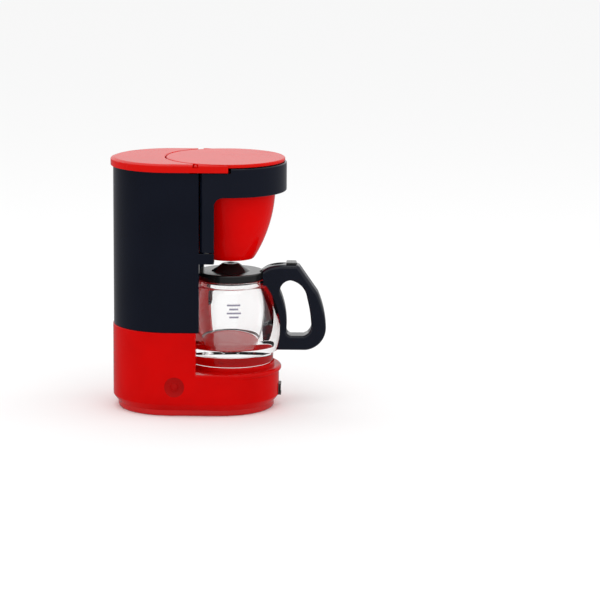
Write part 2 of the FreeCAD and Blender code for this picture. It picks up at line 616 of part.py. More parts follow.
cover_screws = screws("cover_screws", COVER_SCREWS, "head_sink", "cover_screw_length")
column_screws = screws("column_screws", COLUMN_SCREWS,
                       "seam - base_wall - screw_head_rise", "column_screw_length")

# Rocker switch in the base's front, on two stub pins
AXIS_Y = "-(base_front_centre + base_radius - switch_inset)"
switch = new_body("power_switch")
FACE_Y = "%s - switch_inset - switch_proud" % AXIS_Y
sketch = new_sketch(switch, "rocker_outline", "YZ_Plane")
outline(sketch, [
    (FACE_Y, "switch_middle + switch_tall / 2"),
    ("%s + switch_dip" % FACE_Y, "switch_middle"),
    (FACE_Y, "switch_middle - switch_tall / 2"),
    ("%s + switch_back" % AXIS_Y, "switch_middle - switch_tall / 2"),
    ("%s + switch_back" % AXIS_Y, "switch_middle + switch_tall / 2"),
])
pad(switch, "rocker", sketch, "2 * switch_half", both_ways=True)
sketch = new_sketch(switch, "stub_outline", "YZ_Plane")
circle(sketch, "switch_pin", AXIS_Y, "switch_middle")
pad(switch, "stubs", sketch, "2 * (switch_half + switch_pin_reach)", both_ways=True)

# Dark column: the water tank, with the channel for the carafe and two ledges
column = new_body("column_shell")
sketch = new_sketch(column, "column_outline", offset="seam")
outline(sketch, [
    ("-column_radius", "-column_front"),
    ("-column_radius", "rear_centre", "column_radius", "left"),
    ("0", "rear_centre + column_radius", "column_radius", "left"),
    ("column_radius", "rear_centre"),
    ("column_radius", "-column_front"),
])
pad(column, "column_block", sketch, "column_top - seam")
sketch = new_sketch(column, "column_channel_outline", offset="seam")
circle(sketch, "bay_radius", y="-bay_centre")
cut(column, "column_channel", sketch, "column_top - seam", ahead=True)
sketch = new_sketch(column, "tank_outline", offset="seam + column_wall")
rear_room(sketch, "(column_radius - column_wall)", "(column_wall - column_front)",
          "(bay_radius + column_wall)")
cut(column, "tank", sketch, "column_top - seam", ahead=True)
sketch = new_sketch(column, "tongue_seat_outline", offset="seam")
tongue_outline(sketch, "(tongue_half + tongue_gap)", "(bay_radius - tongue_gap)",
               "(bay_radius + column_wall + tongue_gap)")
cut(column, "tongue_seat", sketch, "tongue_top + tongue_gap - seam", ahead=True)
sketch = new_sketch(column, "low_rim_outline", offset="column_low_top")
box_outline(sketch, "-(column_radius + past)", "column_radius + past",
            "-(column_front + past)", "column_low_back")
cut(column, "low_rim", sketch, "column_top - column_low_top", ahead=True)
sketch = new_sketch(column, "relief_outline", offset="cover_relief_floor")
box_outline(sketch, "-cover_relief_half", "cover_relief_half", "cover_relief_front",
            "bay_radius + column_wall - bay_centre + cover_relief_back")
cut(column, "cover_relief", sketch, "column_top - cover_relief_floor", ahead=True)
sketch = new_sketch(column, "ledge_outline", offset="ledge_bottom")
for side in ("", "-"):
    box_outline(sketch, side + "(column_radius - strip_width)", side + "column_radius",
                "-strip_front", "-(column_front - column_wall / 2)")
pad(column, "ledges", sketch, "ledge_top - ledge_bottom")
sketch = new_sketch(column, "column_boss_outline", offset="seam + column_wall / 2")
for x, y in COLUMN_SCREWS:
    circle(sketch, "boss_radius", x, y)
pad(column, "column_bosses", sketch, "column_boss_rise + column_wall / 2")
sketch = new_sketch(column, "column_pilot_outline", offset="seam")
for x, y in COLUMN_SCREWS:
    circle(sketch, "pilot_radius", x, y)
cut(column, "column_pilots", sketch, "column_screw_length - base_wall", ahead=True)
HINGE_X = "-(column_radius - knuckle_radius)"
HINGE_Y = "-(holder_rear + knuckle_radius)"
sketch = new_sketch(column, "pin_seat_outline", offset="ledge_bottom")
circle(sketch, "hinge_pin_radius + pin_seat_gap", HINGE_X, HINGE_Y)
cut(column, "pin_seat", sketch, "ledge_top - ledge_bottom", ahead=True)

# Steel hinge pin that stands in the near ledge
hinge_pin = doc.addObject("Part::Cylinder", "hinge_pin")
hinge_pin.Label = "hinge_pin"
bind(hinge_pin, Radius="hinge_pin_radius", Height="hinge_pin_top - ledge_bottom")
place(hinge_pin, HINGE_X, HINGE_Y, "ledge_bottom")

# Dark filter holder: the head's band, its floor and two side strips
holder = new_body("filter_holder")
sketch = new_sketch(holder, "band_outline", offset="band_bottom")
outline(sketch, [
    ("-column_radius", "-head_centre"),
    ("-column_radius", HINGE_Y, "knuckle_radius", "left"),
    (HINGE_X, "-holder_rear"),
    ("-(%s)" % HINGE_X, "-holder_rear", "knuckle_radius", "left"),
    ("column_radius", HINGE_Y),
    ("column_radius", "-head_centre", "column_radius", "left"),
    ("0", "-head_centre - column_radius", "column_radius", "left"),
])
pad(holder, "band", sketch, "band_top - band_bottom")
sketch = new_sketch(holder, "round_back_outline", offset="band_bottom")
circle(sketch, "bay_radius - holder_gap", y="-bay_centre")
pad(holder, "round_back", sketch, "holder_floor")
sketch = new_sketch(holder, "strip_outline", offset="strip_bottom")
outline(sketch, [
    ("-column_radius", "-strip_front"),
    ("-column_radius", HINGE_Y, "knuckle_radius", "left"),
    (HINGE_X, "-holder_rear"),
    ("-(column_radius - strip_width)", "-holder_rear"),
    ("-(column_radius - strip_width)", "-strip_front"),
])
outline(sketch, [
    ("column_radius - strip_width", "-strip_front"),
    ("column_radius - strip_width", "-holder_rear"),
    ("-(%s)" % HINGE_X, "-holder_rear", "knuckle_radius", "left"),
    ("column_radius", HINGE_Y),
    ("column_radius", "-strip_front"),
])
strips = pad(holder, "strips", sketch, "band_bottom - strip_bottom + holder_floor / 2")
corner_edges = edges_where(
    strips.Shape,
    lambda middle, edge: abs(middle.z - number("band_bottom")) < 1e-4
    and abs(middle.y + number("strip_front")) < 1e-4
    and abs(edge.tangentAt(edge.FirstParameter).x) > 0.99)
bind(dress(holder, "Fillet", "window_corners", strips, corner_edges), Radius="window_round")
doc.recompute()
sketch = new_sketch(holder, "cavity_outline", offset="band_bottom + holder_floor")
INNER = "(column_radius - band_wall)"
BACK = "(holder_rear + band_wall)"
outline(sketch, [
    ("-" + INNER, "-head_centre"),
    ("-" + INNER, "-" + BACK),
    ("-holder_open_half", "-" + BACK),
    ("-holder_open_half", "past"),
    ("holder_open_half", "past"),
    ("holder_open_half", "-" + BACK),
    (INNER, "-" + BACK),
    (INNER, "-head_centre", INNER, "left"),
    ("0", "-head_centre - " + INNER, INNER, "left"),
])
cut(holder, "cavity", sketch, "band_top - band_bottom", ahead=True)
sketch = new_sketch(holder, "basket_hole_outline", offset="band_bottom - past")
circle(sketch, "basket_hole", y="-bay_centre")
cut(holder, "basket_hole", sketch, "holder_floor + 2 * past", ahead=True)
sketch = new_sketch(holder, "low_band_outline", offset="band_low_top")
box_outline(sketch, "-(column_radius + past)", "column_radius + past", "-band_low_front", "past")
cut(holder, "low_band", sketch, "band_top - band_low_top + past", ahead=True)
sketch = new_sketch(holder, "hinge_bore_outline", offset="strip_bottom")
circle(sketch, "hinge_pin_radius + pin_clearance", HINGE_X, HINGE_Y)
cut(holder, "hinge_bore", sketch, "hinge_pin_top - strip_bottom + hinge_bore_room", ahead=True)

# Red filter basket, hung by its flange from the holder's floor
basket = new_body("filter_basket", y="-bay_centre")
FLANGE = "band_bottom + holder_floor"
sketch = new_sketch(basket, "basket_profile", "XZ_Plane")
outline(sketch, [
    ("drip_radius", "nozzle_bottom"),
    ("nozzle_radius", "nozzle_bottom"),
    ("nozzle_radius", "basket_bottom - basket_dome"),
    ("basket_bottom_radius", "basket_bottom", "basket_curve", "right"),
    ("basket_top_radius", "band_bottom"),
    ("basket_top_radius", FLANGE),
    ("basket_flange", FLANGE),
    ("basket_flange", FLANGE + " + flange_rise"),
    ("basket_top_radius - basket_wall", FLANGE + " + flange_rise"),
    ("basket_top_radius - basket_wall", "band_bottom", "basket_curve - basket_wall", "left"),
    ("basket_bottom_radius - basket_wall", "basket_bottom + basket_wall"),
    ("drip_radius", "basket_bottom - basket_dome + basket_wall"),
])
turn(basket, "basket_bowl", sketch)

# Red tank lid: plate with a skirt, a round cut for the filter cover and two slots
lid = new_body("tank_lid")
sketch = new_sketch(lid, "lid_outline", offset="skirt_bottom")
outline(sketch, [
    ("-lid_radius", "-horn_front"),
    ("-lid_radius", "rear_centre", "lid_radius", "left"),
    ("0", "rear_centre + lid_radius", "lid_radius", "left"),
    ("lid_radius", "rear_centre"),
    ("lid_radius", "-horn_front"),
])
plate = pad(lid, "lid_plate", sketch, "lid_top - skirt_bottom")
top_edges = edges_where(
    plate.Shape,
    lambda middle, edge: abs(middle.z - number("lid_top")) < 1e-6
    and abs(middle.y + number("horn_front")) > 1e-6)
bevel = dress(lid, "Chamfer", "lid_bevel", plate, top_edges)
bevel.ChamferType = "Two distances"
bind(bevel, Size="lid_bevel_width", Size2="lid_bevel_rise")
doc.recompute()
INSIDE = "(lid_radius - skirt_wall)"
sketch = new_sketch(lid, "lid_inside_outline", offset="skirt_bottom")
outline(sketch, [
    ("-" + INSIDE, "-(horn_front + past)"),
    ("-" + INSIDE, "rear_centre", INSIDE, "left"),
    ("0", "rear_centre + " + INSIDE, INSIDE, "left"),
    (INSIDE, "rear_centre"),
    (INSIDE, "-(horn_front + past)"),
])
cut(lid, "lid_inside", sketch, "column_top - skirt_bottom", ahead=True)
sketch = new_sketch(lid, "bearing_outline", offset="bearing_bottom")
for side in ("", "-"):
    box_outline(sketch, side + "(disc_radius - column_wall)",
                side + "(lid_radius - skirt_wall / 2)", "-(bearing_half + cover_axis_front)",
                "bearing_half - cover_axis_front")
pad(lid, "bearings", sketch, "column_top - bearing_bottom + bearing_root")
sketch = new_sketch(lid, "disc_cut_outline", offset="skirt_bottom")
circle(sketch, "disc_radius + disc_gap", y="-disc_centre")
cut(lid, "disc_cut", sketch, "lid_top - skirt_bottom", ahead=True)
sketch = new_sketch(lid, "slot_outline", "YZ_Plane")
SLOT = "(cover_pin_radius + pin_clearance)"
outline(sketch, [
    ("-cover_axis_front - " + SLOT, "lid_top + past"),
    ("-cover_axis_front - " + SLOT, "cover_axis_height", SLOT, "right"),
    ("-cover_axis_front", "cover_axis_height - " + SLOT, SLOT, "right"),
    ("-cover_axis_front + " + SLOT, "cover_axis_height"),
    ("-cover_axis_front + " + SLOT, "lid_top + past"),
])
cut(lid, "slots", sketch, "2 * slot_end", both_ways=True)
sketch = new_sketch(lid, "slot_mouth_outline", "YZ_Plane")
box_outline(sketch, "-cover_axis_front - " + SLOT, "-cover_axis_front + " + SLOT,
            "lid_top - lid_bevel_rise - slot_mouth", "lid_top + past")
cut(lid, "slot_mouths", sketch, "2 * (lid_radius + past)", both_ways=True)

# Red filter cover: a disc that tilts on two stub pins in the lid's slots
disc = new_body("filter_cover", y="-disc_centre")
sketch = new_sketch(disc, "disc_outline", offset="disc_bottom")
circle(sketch, "disc_radius")
plate = pad(disc, "disc_plate", sketch, "disc_top - disc_bottom")
top_edges = edges_where(plate.Shape, lambda middle, edge: abs(middle.z - number("disc_top")) < 1e-6
                        and edge.Length > number("disc_radius"))
bind(dress(disc, "Chamfer", "disc_edge", plate, top_edges), Size="disc_bevel")
doc.recompute()
for side, where in (("", "near"), ("-", "far")):
    sketch = new_sketch(disc, where + "_stub_outline", "YZ_Plane",
                        side + "(slot_end - stub_gap)")
    circle(sketch, "cover_pin_radius", "disc_centre - cover_axis_front", "cover_axis_height")
    feature = pad(disc, where + "_stub", sketch, "slot_end - disc_radius + stub_root")
    feature.Reversed = side == ""
    doc.recompute()

# Clear carafe: bulging outside, with a thick base and a tapered cavity left by its core
glass = new_body("carafe_glass", y="-bay_centre")
sketch = new_sketch(glass, "glass_profile", "XZ_Plane")
outline(sketch, [
    ("0", "glass_foot + foot_recess"),
    ("foot_radius - foot_ring - foot_recess", "glass_foot + foot_recess"),
    ("foot_radius - foot_ring", "glass_foot"),
    ("foot_radius", "glass_foot", "glass_lower_curve", "right"),
    ("glass_belly_radius", "glass_belly", "glass_upper_curve", "right"),
    ("shoulder_radius", "glass_shoulder"),
    ("neck_radius", "glass_shoulder"),
    ("neck_radius", "neck_top"),
    ("neck_radius - glass_wall", "neck_top"),
    ("neck_radius - glass_wall", "neck_top - plug_depth - plug_gap"),
    ("cavity_foot", "glass_floor"),
    ("0", "glass_floor"),
])
turn(glass, "glass_vessel", sketch)

# Black carafe lid with its boss, plug, hinge arm and thumb tab
carafe_lid = new_body("carafe_lid", y="-bay_centre")
PLUG = "(neck_radius - glass_wall - plug_gap)"
sketch = new_sketch(carafe_lid, "carafe_lid_profile", "XZ_Plane")
outline(sketch, [
    ("drip_hole", "neck_top"),
    (PLUG + " - plug_wall", "neck_top"),
    (PLUG + " - plug_wall", "neck_top - plug_depth"),
    (PLUG, "neck_top - plug_depth"),
    (PLUG, "neck_top"),
    ("carafe_lid_radius", "neck_top"),
    ("carafe_lid_radius", "carafe_lid_top - carafe_lid_bevel"),
    ("carafe_lid_radius - carafe_lid_edge", "carafe_lid_top"),
    ("dome_radius", "carafe_lid_top"),
    ("dome_top_radius", "dome_top"),
    ("drip_hole", "dome_top"),
])
turn(carafe_lid, "lid_disc", sketch)
TAB_START = "(glass_belly_radius + tab_start)"
TAB_END = "(glass_belly_radius + tab_end)"
sketch = new_sketch(carafe_lid, "arm_outline", "YZ_Plane")
outline(sketch, [
    ("-(carafe_lid_radius - arm_foot)", "neck_top + carafe_lid_bevel"),
    ("-(carafe_lid_radius - arm_foot)", "carafe_lid_top"),
    ("-(carafe_lid_radius + arm_foot)", "handle_top - arm_drop"),
    ("-" + TAB_START, "handle_top"),
    ("-" + TAB_END, "handle_top"),
    ("-" + TAB_END, "lid_pin_height + lid_pin_radius"),
    ("-(lid_pin_place + arm_foot)", "lid_pin_height - arm_foot"),
    ("-(carafe_lid_radius + arm_foot)", "neck_top + carafe_lid_bevel"),
])
pad(carafe_lid, "arm", sketch, "2 * arm_half", both_ways=True)
sketch = new_sketch(carafe_lid, "tab_outline", "YZ_Plane")
box_outline(sketch, "-" + TAB_END, "-" + TAB_START, "handle_top", "tab_top")
pad(carafe_lid, "thumb_tab", sketch, "2 * tab_half", both_ways=True)
sketch = new_sketch(carafe_lid, "arm_bore_outline", "YZ_Plane")
circle(sketch, "lid_pin_radius + pin_clearance", "-lid_pin_place", "lid_pin_height")
cut(carafe_lid, "arm_bore", sketch, "4 * arm_half", both_ways=True)

# Dark carafe handle: a D-shaped loop with a fork for the lid's arm
handle = new_body("carafe_handle", y="-bay_centre")


def beyond(name):
    """A named distance outside the carafe's widest part, on the handle's side."""
    return "-(glass_belly_radius + %s)" % name


def above(name):
    """A named height over the carafe's foot."""
    return "glass_foot + %s" % name


sketch = new_sketch(handle, "handle_outline", "YZ_Plane")
outline(sketch, [
    ("-handle_tip", "carafe_lid_top - handle_tip_drop", "handle_tip_curve", "right"),
    ("-handle_brow", "handle_top - handle_brow_drop", "handle_brow_curve", "right"),
    ("-" + TAB_START, "handle_top"),
    (beyond("handle_crown"), "handle_top"),
    (beyond("handle_slant"), above("handle_slant_rise"), "handle_back_curve", "right"),
    (beyond("handle_reach"), above("handle_widest_rise"), "handle_heel_curve", "right"),
    (beyond("handle_heel"), above("handle_foot_rise")),
    ("-(foot_radius + glass_wall)", above("handle_foot_rise")),
    ("-neck_radius", above("shoulder_rise - glass_wall")),
    ("-(neck_radius - glass_wall)", "glass_shoulder"),
    ("-(neck_radius - glass_wall)", "neck_top"),
])
pad(handle, "handle_block", sketch, "2 * handle_half", both_ways=True)
sketch = new_sketch(handle, "grip_outline", "YZ_Plane")
outline(sketch, [
    ("-(glass_belly_radius - grip_neck)", above("grip_neck_rise"), "grip_inner_curve", "right"),
    (beyond("grip_belly"), above("grip_belly_rise"), "grip_inner_corner", "left"),
    (beyond("grip_floor_start"), above("grip_floor_rise")),
    (beyond("grip_floor_end"), above("grip_floor_rise"), "grip_outer_corner", "left"),
    (beyond("grip_outer"), above("grip_outer_rise"), "grip_outer_curve", "left"),
    (beyond("grip_brow"), above("grip_brow_rise"), "grip_brow_curve", "left"),
    (beyond("grip_crown"), above("grip_crown_rise"), "grip_crown_curve", "left"),
])
cut(handle, "finger_hole", sketch, "4 * handle_half", both_ways=True)
sketch = new_sketch(handle, "glass_seat_profile", "XZ_Plane")
outline(sketch, [
    ("0", "glass_foot - past"),
    ("foot_radius + handle_gap", "glass_foot - past"),
    ("foot_radius + handle_gap", "glass_foot", "glass_lower_curve", "right"),
    ("glass_belly_radius + handle_gap", "glass_belly", "glass_upper_curve", "right"),
    ("shoulder_radius + handle_gap", "glass_shoulder"),
    ("shoulder_radius + handle_gap", "glass_shoulder + handle_gap"),
    ("carafe_lid_radius + arm_gap", "glass_shoulder + handle_gap"),
    ("carafe_lid_radius + arm_gap", "carafe_lid_top + handle_gap"),
    ("0", "carafe_lid_top + handle_gap"),
])
turn(handle, "glass_seat", sketch, "PartDesign::Groove")
sketch = new_sketch(handle, "fork_outline", "YZ_Plane")
outline(sketch, [
    ("-(handle_tip - past)", "neck_top"),
    ("-(handle_tip - past)", "handle_top + past"),
    ("-(%s + arm_gap)" % TAB_END, "handle_top + past"),
    ("-(%s + arm_gap)" % TAB_END, "lid_pin_height"),
    ("-(lid_pin_place + arm_foot + arm_gap)", "lid_pin_height - arm_foot - arm_gap"),
    ("-(carafe_lid_radius + arm_foot)", "neck_top"),
])
cut(handle, "fork", sketch, "2 * (arm_half + arm_gap)", both_ways=True)
sketch = new_sketch(handle, "pin_hole_outline", "YZ_Plane")
circle(sketch, "lid_pin_radius + pin_seat_gap", "-lid_pin_place", "lid_pin_height")
cut(handle, "pin_hole", sketch, "4 * handle_half", both_ways=True)

# Steel pin of the carafe lid
lid_pin = doc.addObject("Part::Cylinder", "lid_pin")
lid_pin.Label = "lid_pin"
bind(lid_pin, Radius="lid_pin_radius", Height="2 * (handle_half - pin_inset)")
lid_pin.Placement.Rotation = FreeCAD.Rotation(Vector(0, 1, 0), 90)
place(lid_pin, "-(handle_half - pin_inset)", "-(bay_centre + lid_pin_place)", "lid_pin_height")

doc.recompute()
NODES = [base, cover, cover_screws, column_screws, switch, column, hinge_pin, holder, basket,
         lid, disc, glass, carafe_lid, handle, lid_pin]
for thing in doc.Objects:
    if "Invalid" in thing.State or "Error" in thing.State:
        raise RuntimeError("%s failed: %s" % (thing.Name, thing.getStatusString()))
for node in NODES:
    if node.Shape.isNull() or not node.Shape.isValid() or not node.Shape.Solids:
        raise RuntimeError(node.Label + " is not a valid solid")

os.makedirs("parts", exist_ok=True)
for node in NODES:
    node.Shape.exportStep("parts/%s.step" % node.Label)
    box = node.Shape.BoundBox
    print("%-16s %d solids %9.2f mm3  x %.2f..%.2f  y %.2f..%.2f  z %.2f..%.2f" % (
        node.Label, len(node.Shape.Solids), node.Shape.Volume,
        box.XMin, box.XMax, box.YMin, box.YMax, box.ZMin, box.ZMax))
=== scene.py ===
import math
import bmesh
import bpy
import numpy as np
from mathutils import Matrix, Quaternion, Vector


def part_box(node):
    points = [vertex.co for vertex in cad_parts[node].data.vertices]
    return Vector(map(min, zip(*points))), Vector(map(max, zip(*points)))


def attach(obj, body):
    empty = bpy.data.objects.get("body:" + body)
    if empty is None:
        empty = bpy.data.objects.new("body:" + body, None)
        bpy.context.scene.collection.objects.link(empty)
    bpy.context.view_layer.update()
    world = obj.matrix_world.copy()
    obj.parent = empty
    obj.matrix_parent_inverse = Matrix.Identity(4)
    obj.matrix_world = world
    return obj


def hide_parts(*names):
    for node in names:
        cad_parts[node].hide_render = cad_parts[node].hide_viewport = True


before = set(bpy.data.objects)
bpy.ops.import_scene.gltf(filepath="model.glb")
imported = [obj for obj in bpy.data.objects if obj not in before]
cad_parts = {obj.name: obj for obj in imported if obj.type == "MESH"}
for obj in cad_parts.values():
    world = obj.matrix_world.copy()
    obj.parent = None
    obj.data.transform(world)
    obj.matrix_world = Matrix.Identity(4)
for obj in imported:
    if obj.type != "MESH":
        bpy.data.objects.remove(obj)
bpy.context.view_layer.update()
MM = 0.001

# Studio: a camera at the toy's left side, looking a little down on it. Surroundings and table are white,
# with one soft panel overhead and one at each end. In the pieces' reflections the table is a dim grey, so
# that polished plastic keeps its depth.
AIM = Vector((0, -24.6, 25.7)) * MM
CAMERA_DISTANCE = 700 * MM
CAMERA_PITCH = math.radians(10.9)
CAMERA_TURN = math.radians(0.7)
CAMERA_ROLL = math.radians(0.35)
FIELD_OF_VIEW = math.radians(11.7)
NEAREST_SEEN = 10 * MM
FLOOR_HALF = 3.0
FLOOR_WHITE = (0.93, 0.93, 0.93, 1)
FLOOR_IN_GLOSS = (0.3, 0.3, 0.31, 1)
WORLD_LIGHT = 1.0
PANELS = [
    ("panel_above", (-120, -40, 420), (0, -10, 30), 260, 0.25),
    ("panel_rear", (60, 330, 150), (0, 0, 35), 120, 0.1),
    ("panel_front", (40, -330, 150), (0, 0, 35), 120, 0.1),
]

camera = bpy.data.objects.new("camera", bpy.data.cameras.new("camera"))
bpy.context.scene.collection.objects.link(camera)
back = Vector((-math.cos(CAMERA_PITCH) * math.cos(CAMERA_TURN),
               -math.cos(CAMERA_PITCH) * math.sin(CAMERA_TURN), math.sin(CAMERA_PITCH)))
camera.location = AIM + back * CAMERA_DISTANCE
camera.rotation_mode = "QUATERNION"
camera.rotation_quaternion = (-back).to_track_quat("-Z", "Y") @ Quaternion((0, 0, 1), CAMERA_ROLL)
camera.data.angle = FIELD_OF_VIEW
camera.data.clip_start = NEAREST_SEEN
bpy.context.scene.camera = camera
bpy.context.scene.view_settings.view_transform = "Standard"


def new_material(name):
    """A node material with its Principled shader, ready to be wired."""
    material = bpy.data.materials.new(name)
    material.use_nodes = True
    nodes, links = material.node_tree.nodes, material.node_tree.links
    return material, nodes, links, nodes["Principled BSDF"]


floor_mesh = bpy.data.meshes.new("floor")
corners = [(-FLOOR_HALF, -FLOOR_HALF, 0), (FLOOR_HALF, -FLOOR_HALF, 0),
           (FLOOR_HALF, FLOOR_HALF, 0), (-FLOOR_HALF, FLOOR_HALF, 0)]
floor_mesh.from_pydata(corners, [], [(0, 1, 2, 3)])
floor = bpy.data.objects.new("floor", floor_mesh)
bpy.context.scene.collection.objects.link(floor)
floor_material, nodes, links, shader = new_material("floor_white")
shader.inputs["Base Color"].default_value = FLOOR_WHITE
shader.inputs["Roughness"].default_value = 1.0
shader.inputs["Specular IOR Level"].default_value = 0
dim = nodes.new("ShaderNodeEmission")
dim.inputs["Color"].default_value = FLOOR_IN_GLOSS
path = nodes.new("ShaderNodeLightPath")
mirrored = nodes.new("ShaderNodeMath")
mirrored.operation = "SUBTRACT"
mirrored.use_clamp = True
links.new(path.outputs["Is Glossy Ray"], mirrored.inputs[0])
links.new(path.outputs["Is Transmission Ray"], mirrored.inputs[1])
choice = nodes.new("ShaderNodeMixShader")
links.new(mirrored.outputs[0], choice.inputs["Fac"])
links.new(shader.outputs["BSDF"], choice.inputs[1])
links.new(dim.outputs["Emission"], choice.inputs[2])
links.new(choice.outputs["Shader"], nodes["Material Output"].inputs["Surface"])
floor.data.materials.append(floor_material)

world = bpy.data.worlds.new("studio")
bpy.context.scene.world = world
world.use_nodes = True
backdrop = world.node_tree.nodes["Background"]
backdrop.inputs["Color"].default_value = (1, 1, 1, 1)
backdrop.inputs["Strength"].default_value = WORLD_LIGHT

for name, place, target, side, power in PANELS:
    lamp = bpy.data.lights.new(name, "AREA")
    lamp.size = side * MM
    lamp.energy = power
    panel = bpy.data.objects.new(name, lamp)
    panel.location = Vector(place) * MM
    panel.rotation_mode = "QUATERNION"
    panel.rotation_quaternion = (Vector(target) - Vector(place)).to_track_quat("-Z", "Y")
    panel.visible_camera = False
    panel.visible_glossy = name == "panel_above"
    bpy.context.scene.collection.objects.link(panel)

# Red base: one injection moulding with the tray, the raised round plate under the carafe,
# the tall rear block that carries the column, and the tongue that stands up behind the carafe.
# A round moulding mark is pressed into its side, duller than the polished skin; its dish is painted a
# darker red as shade. The plate's top is matte. Sizes are in millimetres, here and below, until smooth()
# brings a mesh to metres.


def box_mm(node):
    """Lowest and highest corner of a solid's box at rest, in millimetres."""
    return [np.array(corner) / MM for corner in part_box(node)]


RED = (0.60, 0.0006, 0.0004, 1)
RED_DEEP = (0.50, 0.0005, 0.0003, 1)
# Darker red for the moulding mark's dish: painted shade in the recess.
GATE_SHADE_RED = (0.34, 0.0004, 0.0003, 1)
base_low, base_high = box_mm("base_housing")
column_low, column_high = box_mm("column_shell")
glass_low, glass_high = box_mm("carafe_glass")
BASE_HALF = base_high[0]
REAR_CENTRE = base_high[1] - BASE_HALF
FRONT_CENTRE = -5.35
PLINTH_TOP = base_low[2]
SEAM = column_low[2]
TRAY_TOP = 10.15
PLATE_TOP = glass_low[2]
PLATE_RADIUS = 10.6
PLATE_INTO_FOOT = 0.02
BAY_Y = (glass_low[1] + glass_high[1]) / 2
BAY_RADIUS = 12.8
BELT_IN = 1.2
BELT_RISE = 1.6
STEP_FRONT = -0.3
LIP_CENTRE = -6.0
LIP_RADIUS = 14.2
LIP_RISE = 1.3
TONGUE_HALF = 10.0
TONGUE_TOP = base_high[2]
TONGUE_DEEP = 1.2
BLOCK_CORNER = 0.35
SWITCH_WINDOW = (-1.95, 1.95, 2.70, 5.70, 0.3)
WINDOW_FLOOR = 17.6
GATE = (4.8, 7.2)
GATE_RADIUS = 2.35
GATE_DEPTH = 0.32
GATE_PIP = [(0, 0.06), (0.55, 0.06), (0.8, 0.12)]
PRESSED_FROM = 0.012
UPWARD = 0.9
BASE_EDGE = 0.45
LIP_EDGE = 0.6
PLATE_EDGE = 0.25
TONGUE_EDGE = 0.3
ROUND_STEPS = 7
TURN_STEPS = 128
TUCK = 0.06
DOUBLE_UNDER = 0.0001
WELD_UNDER = 0.0005
ACROSS = (2, 0, 1)


def arc(x, y, radius, start, end, step=3.0):
    """Points on a circle about (x, y), from one angle to another in degrees, one every step."""
    angle = np.radians(np.linspace(start, end, max(2, round(abs(end - start) / step) + 1)))
    return np.stack([x + radius * np.cos(angle), y + radius * np.sin(angle)], 1)


def circle(y, radius):
    """Outline of a circle about (0, y), without its closing point."""
    return arc(0, y, radius, 0, 357)


def softened(corners, steps=ROUND_STEPS):
    """A closed way through corners (a, b, radius), each rounded by the arc that touches both its sides."""
    corners = np.array(corners, float)
    point, radius = corners[:, :2], corners[:, 2:3]
    back_way = np.roll(point, 1, 0) - point
    on_way = np.roll(point, -1, 0) - point
    back_way /= np.linalg.norm(back_way, axis=1, keepdims=True)
    on_way /= np.linalg.norm(on_way, axis=1, keepdims=True)
    half = np.arccos(np.clip((back_way * on_way).sum(1, keepdims=True), -1, 1)) / 2
    bisector = back_way + on_way
    bisector /= np.maximum(np.linalg.norm(bisector, axis=1, keepdims=True), 1e-9)
    centre = point + bisector * radius / np.sin(half)
    first = point + back_way * radius / np.tan(half) - centre
    last = point + on_way * radius / np.tan(half) - centre
    turn = np.arctan2(first[:, 0] * last[:, 1] - first[:, 1] * last[:, 0], (first * last).sum(1))
    share = np.linspace(0, 1, steps)[None, :] * turn[:, None]
    cos, sin = np.cos(share), np.sin(share)
    x = first[:, :1] * cos - first[:, 1:] * sin
    y = first[:, :1] * sin + first[:, 1:] * cos
    rounds = centre[:, None] + np.stack([x, y], 2)
    keep = np.ones((len(corners), steps), bool)
    keep[radius[:, 0] == 0, 1:] = False
    return rounds[keep]


def outward(points):
    """Outward normals of a closed anticlockwise outline, longer at corners so that offsets stay even."""
    way = np.roll(points, -1, 0) - points
    way /= np.linalg.norm(way, axis=1, keepdims=True)
    middle = way + np.roll(way, 1, 0)
    return 2 * np.stack([middle[:, 1], -middle[:, 0]], 1) / (middle ** 2).sum(1, keepdims=True)


def wall(low, high, low_round, high_round, inset=0.0):
    """Profile rows (inset, height) of a wall whose lower and upper edge are quarter rounds."""
    turn = np.radians(np.linspace(0, 90, ROUND_STEPS))
    rows = [(inset + low_round + TUCK, low)] if low_round else []
    rows += list(zip(inset + low_round * (1 - np.sin(turn)), low + low_round * (1 - np.cos(turn))))
    rows += list(zip(inset + high_round * (1 - np.cos(turn)), high - high_round * (1 - np.sin(turn))))
    rows += [(inset + high_round + TUCK, high)] if high_round else []
    return rows


def shell(outline, profile):
    """Closed skin: the outline moved in by each row's first number, at the height of its second."""
    profile = np.array(profile)
    fresh = np.concatenate([[True], np.abs(np.diff(profile, axis=0)).sum(1) > 1e-6])
    profile = profile[fresh]
    count = len(outline)
    rings = outline[None] - outward(outline)[None] * profile[:, :1, None]
    height = np.broadcast_to(profile[:, 1, None, None], (len(profile), count, 1))
    corner = np.arange(count)
    beside = (corner + 1) % count
    first = (np.arange(len(profile) - 1) * count)[:, None]
    sides = np.stack([first + corner, first + beside, first + beside + count,
                      first + corner + count], 2).reshape(-1, 4)
    vertices = np.concatenate([rings, height], 2).reshape(-1, 3)
    top = len(vertices) - count + corner
    return vertices, [sides, corner[::-1][None], top[None]]


def lathe(profile, x=0.0, y=BAY_Y, count=TURN_STEPS):
    """Skin turned about an upright axis: a closed way through (radius, height), anticlockwise."""
    profile = np.array(profile, float)
    angle = np.linspace(0, 2 * np.pi, count, endpoint=False)
    radius = profile[:, 0][:, None]
    vertices = np.stack([x + radius * np.cos(angle), y + radius * np.sin(angle),
                         np.broadcast_to(profile[:, 1][:, None], (len(profile), count))], 2)
    row = np.arange(len(profile))
    row = row[profile[row, 0] + profile[(row + 1) % len(profile), 0] > 0][:, None]
    on = (row + 1) % len(profile)
    corner = np.arange(count)[None, :]
    beside = (corner + 1) % count
    faces = np.stack([row * count + corner, row * count + beside, on * count + beside,
                      on * count + corner], 2).reshape(-1, 4)
    return vertices.reshape(-1, 3), [faces]


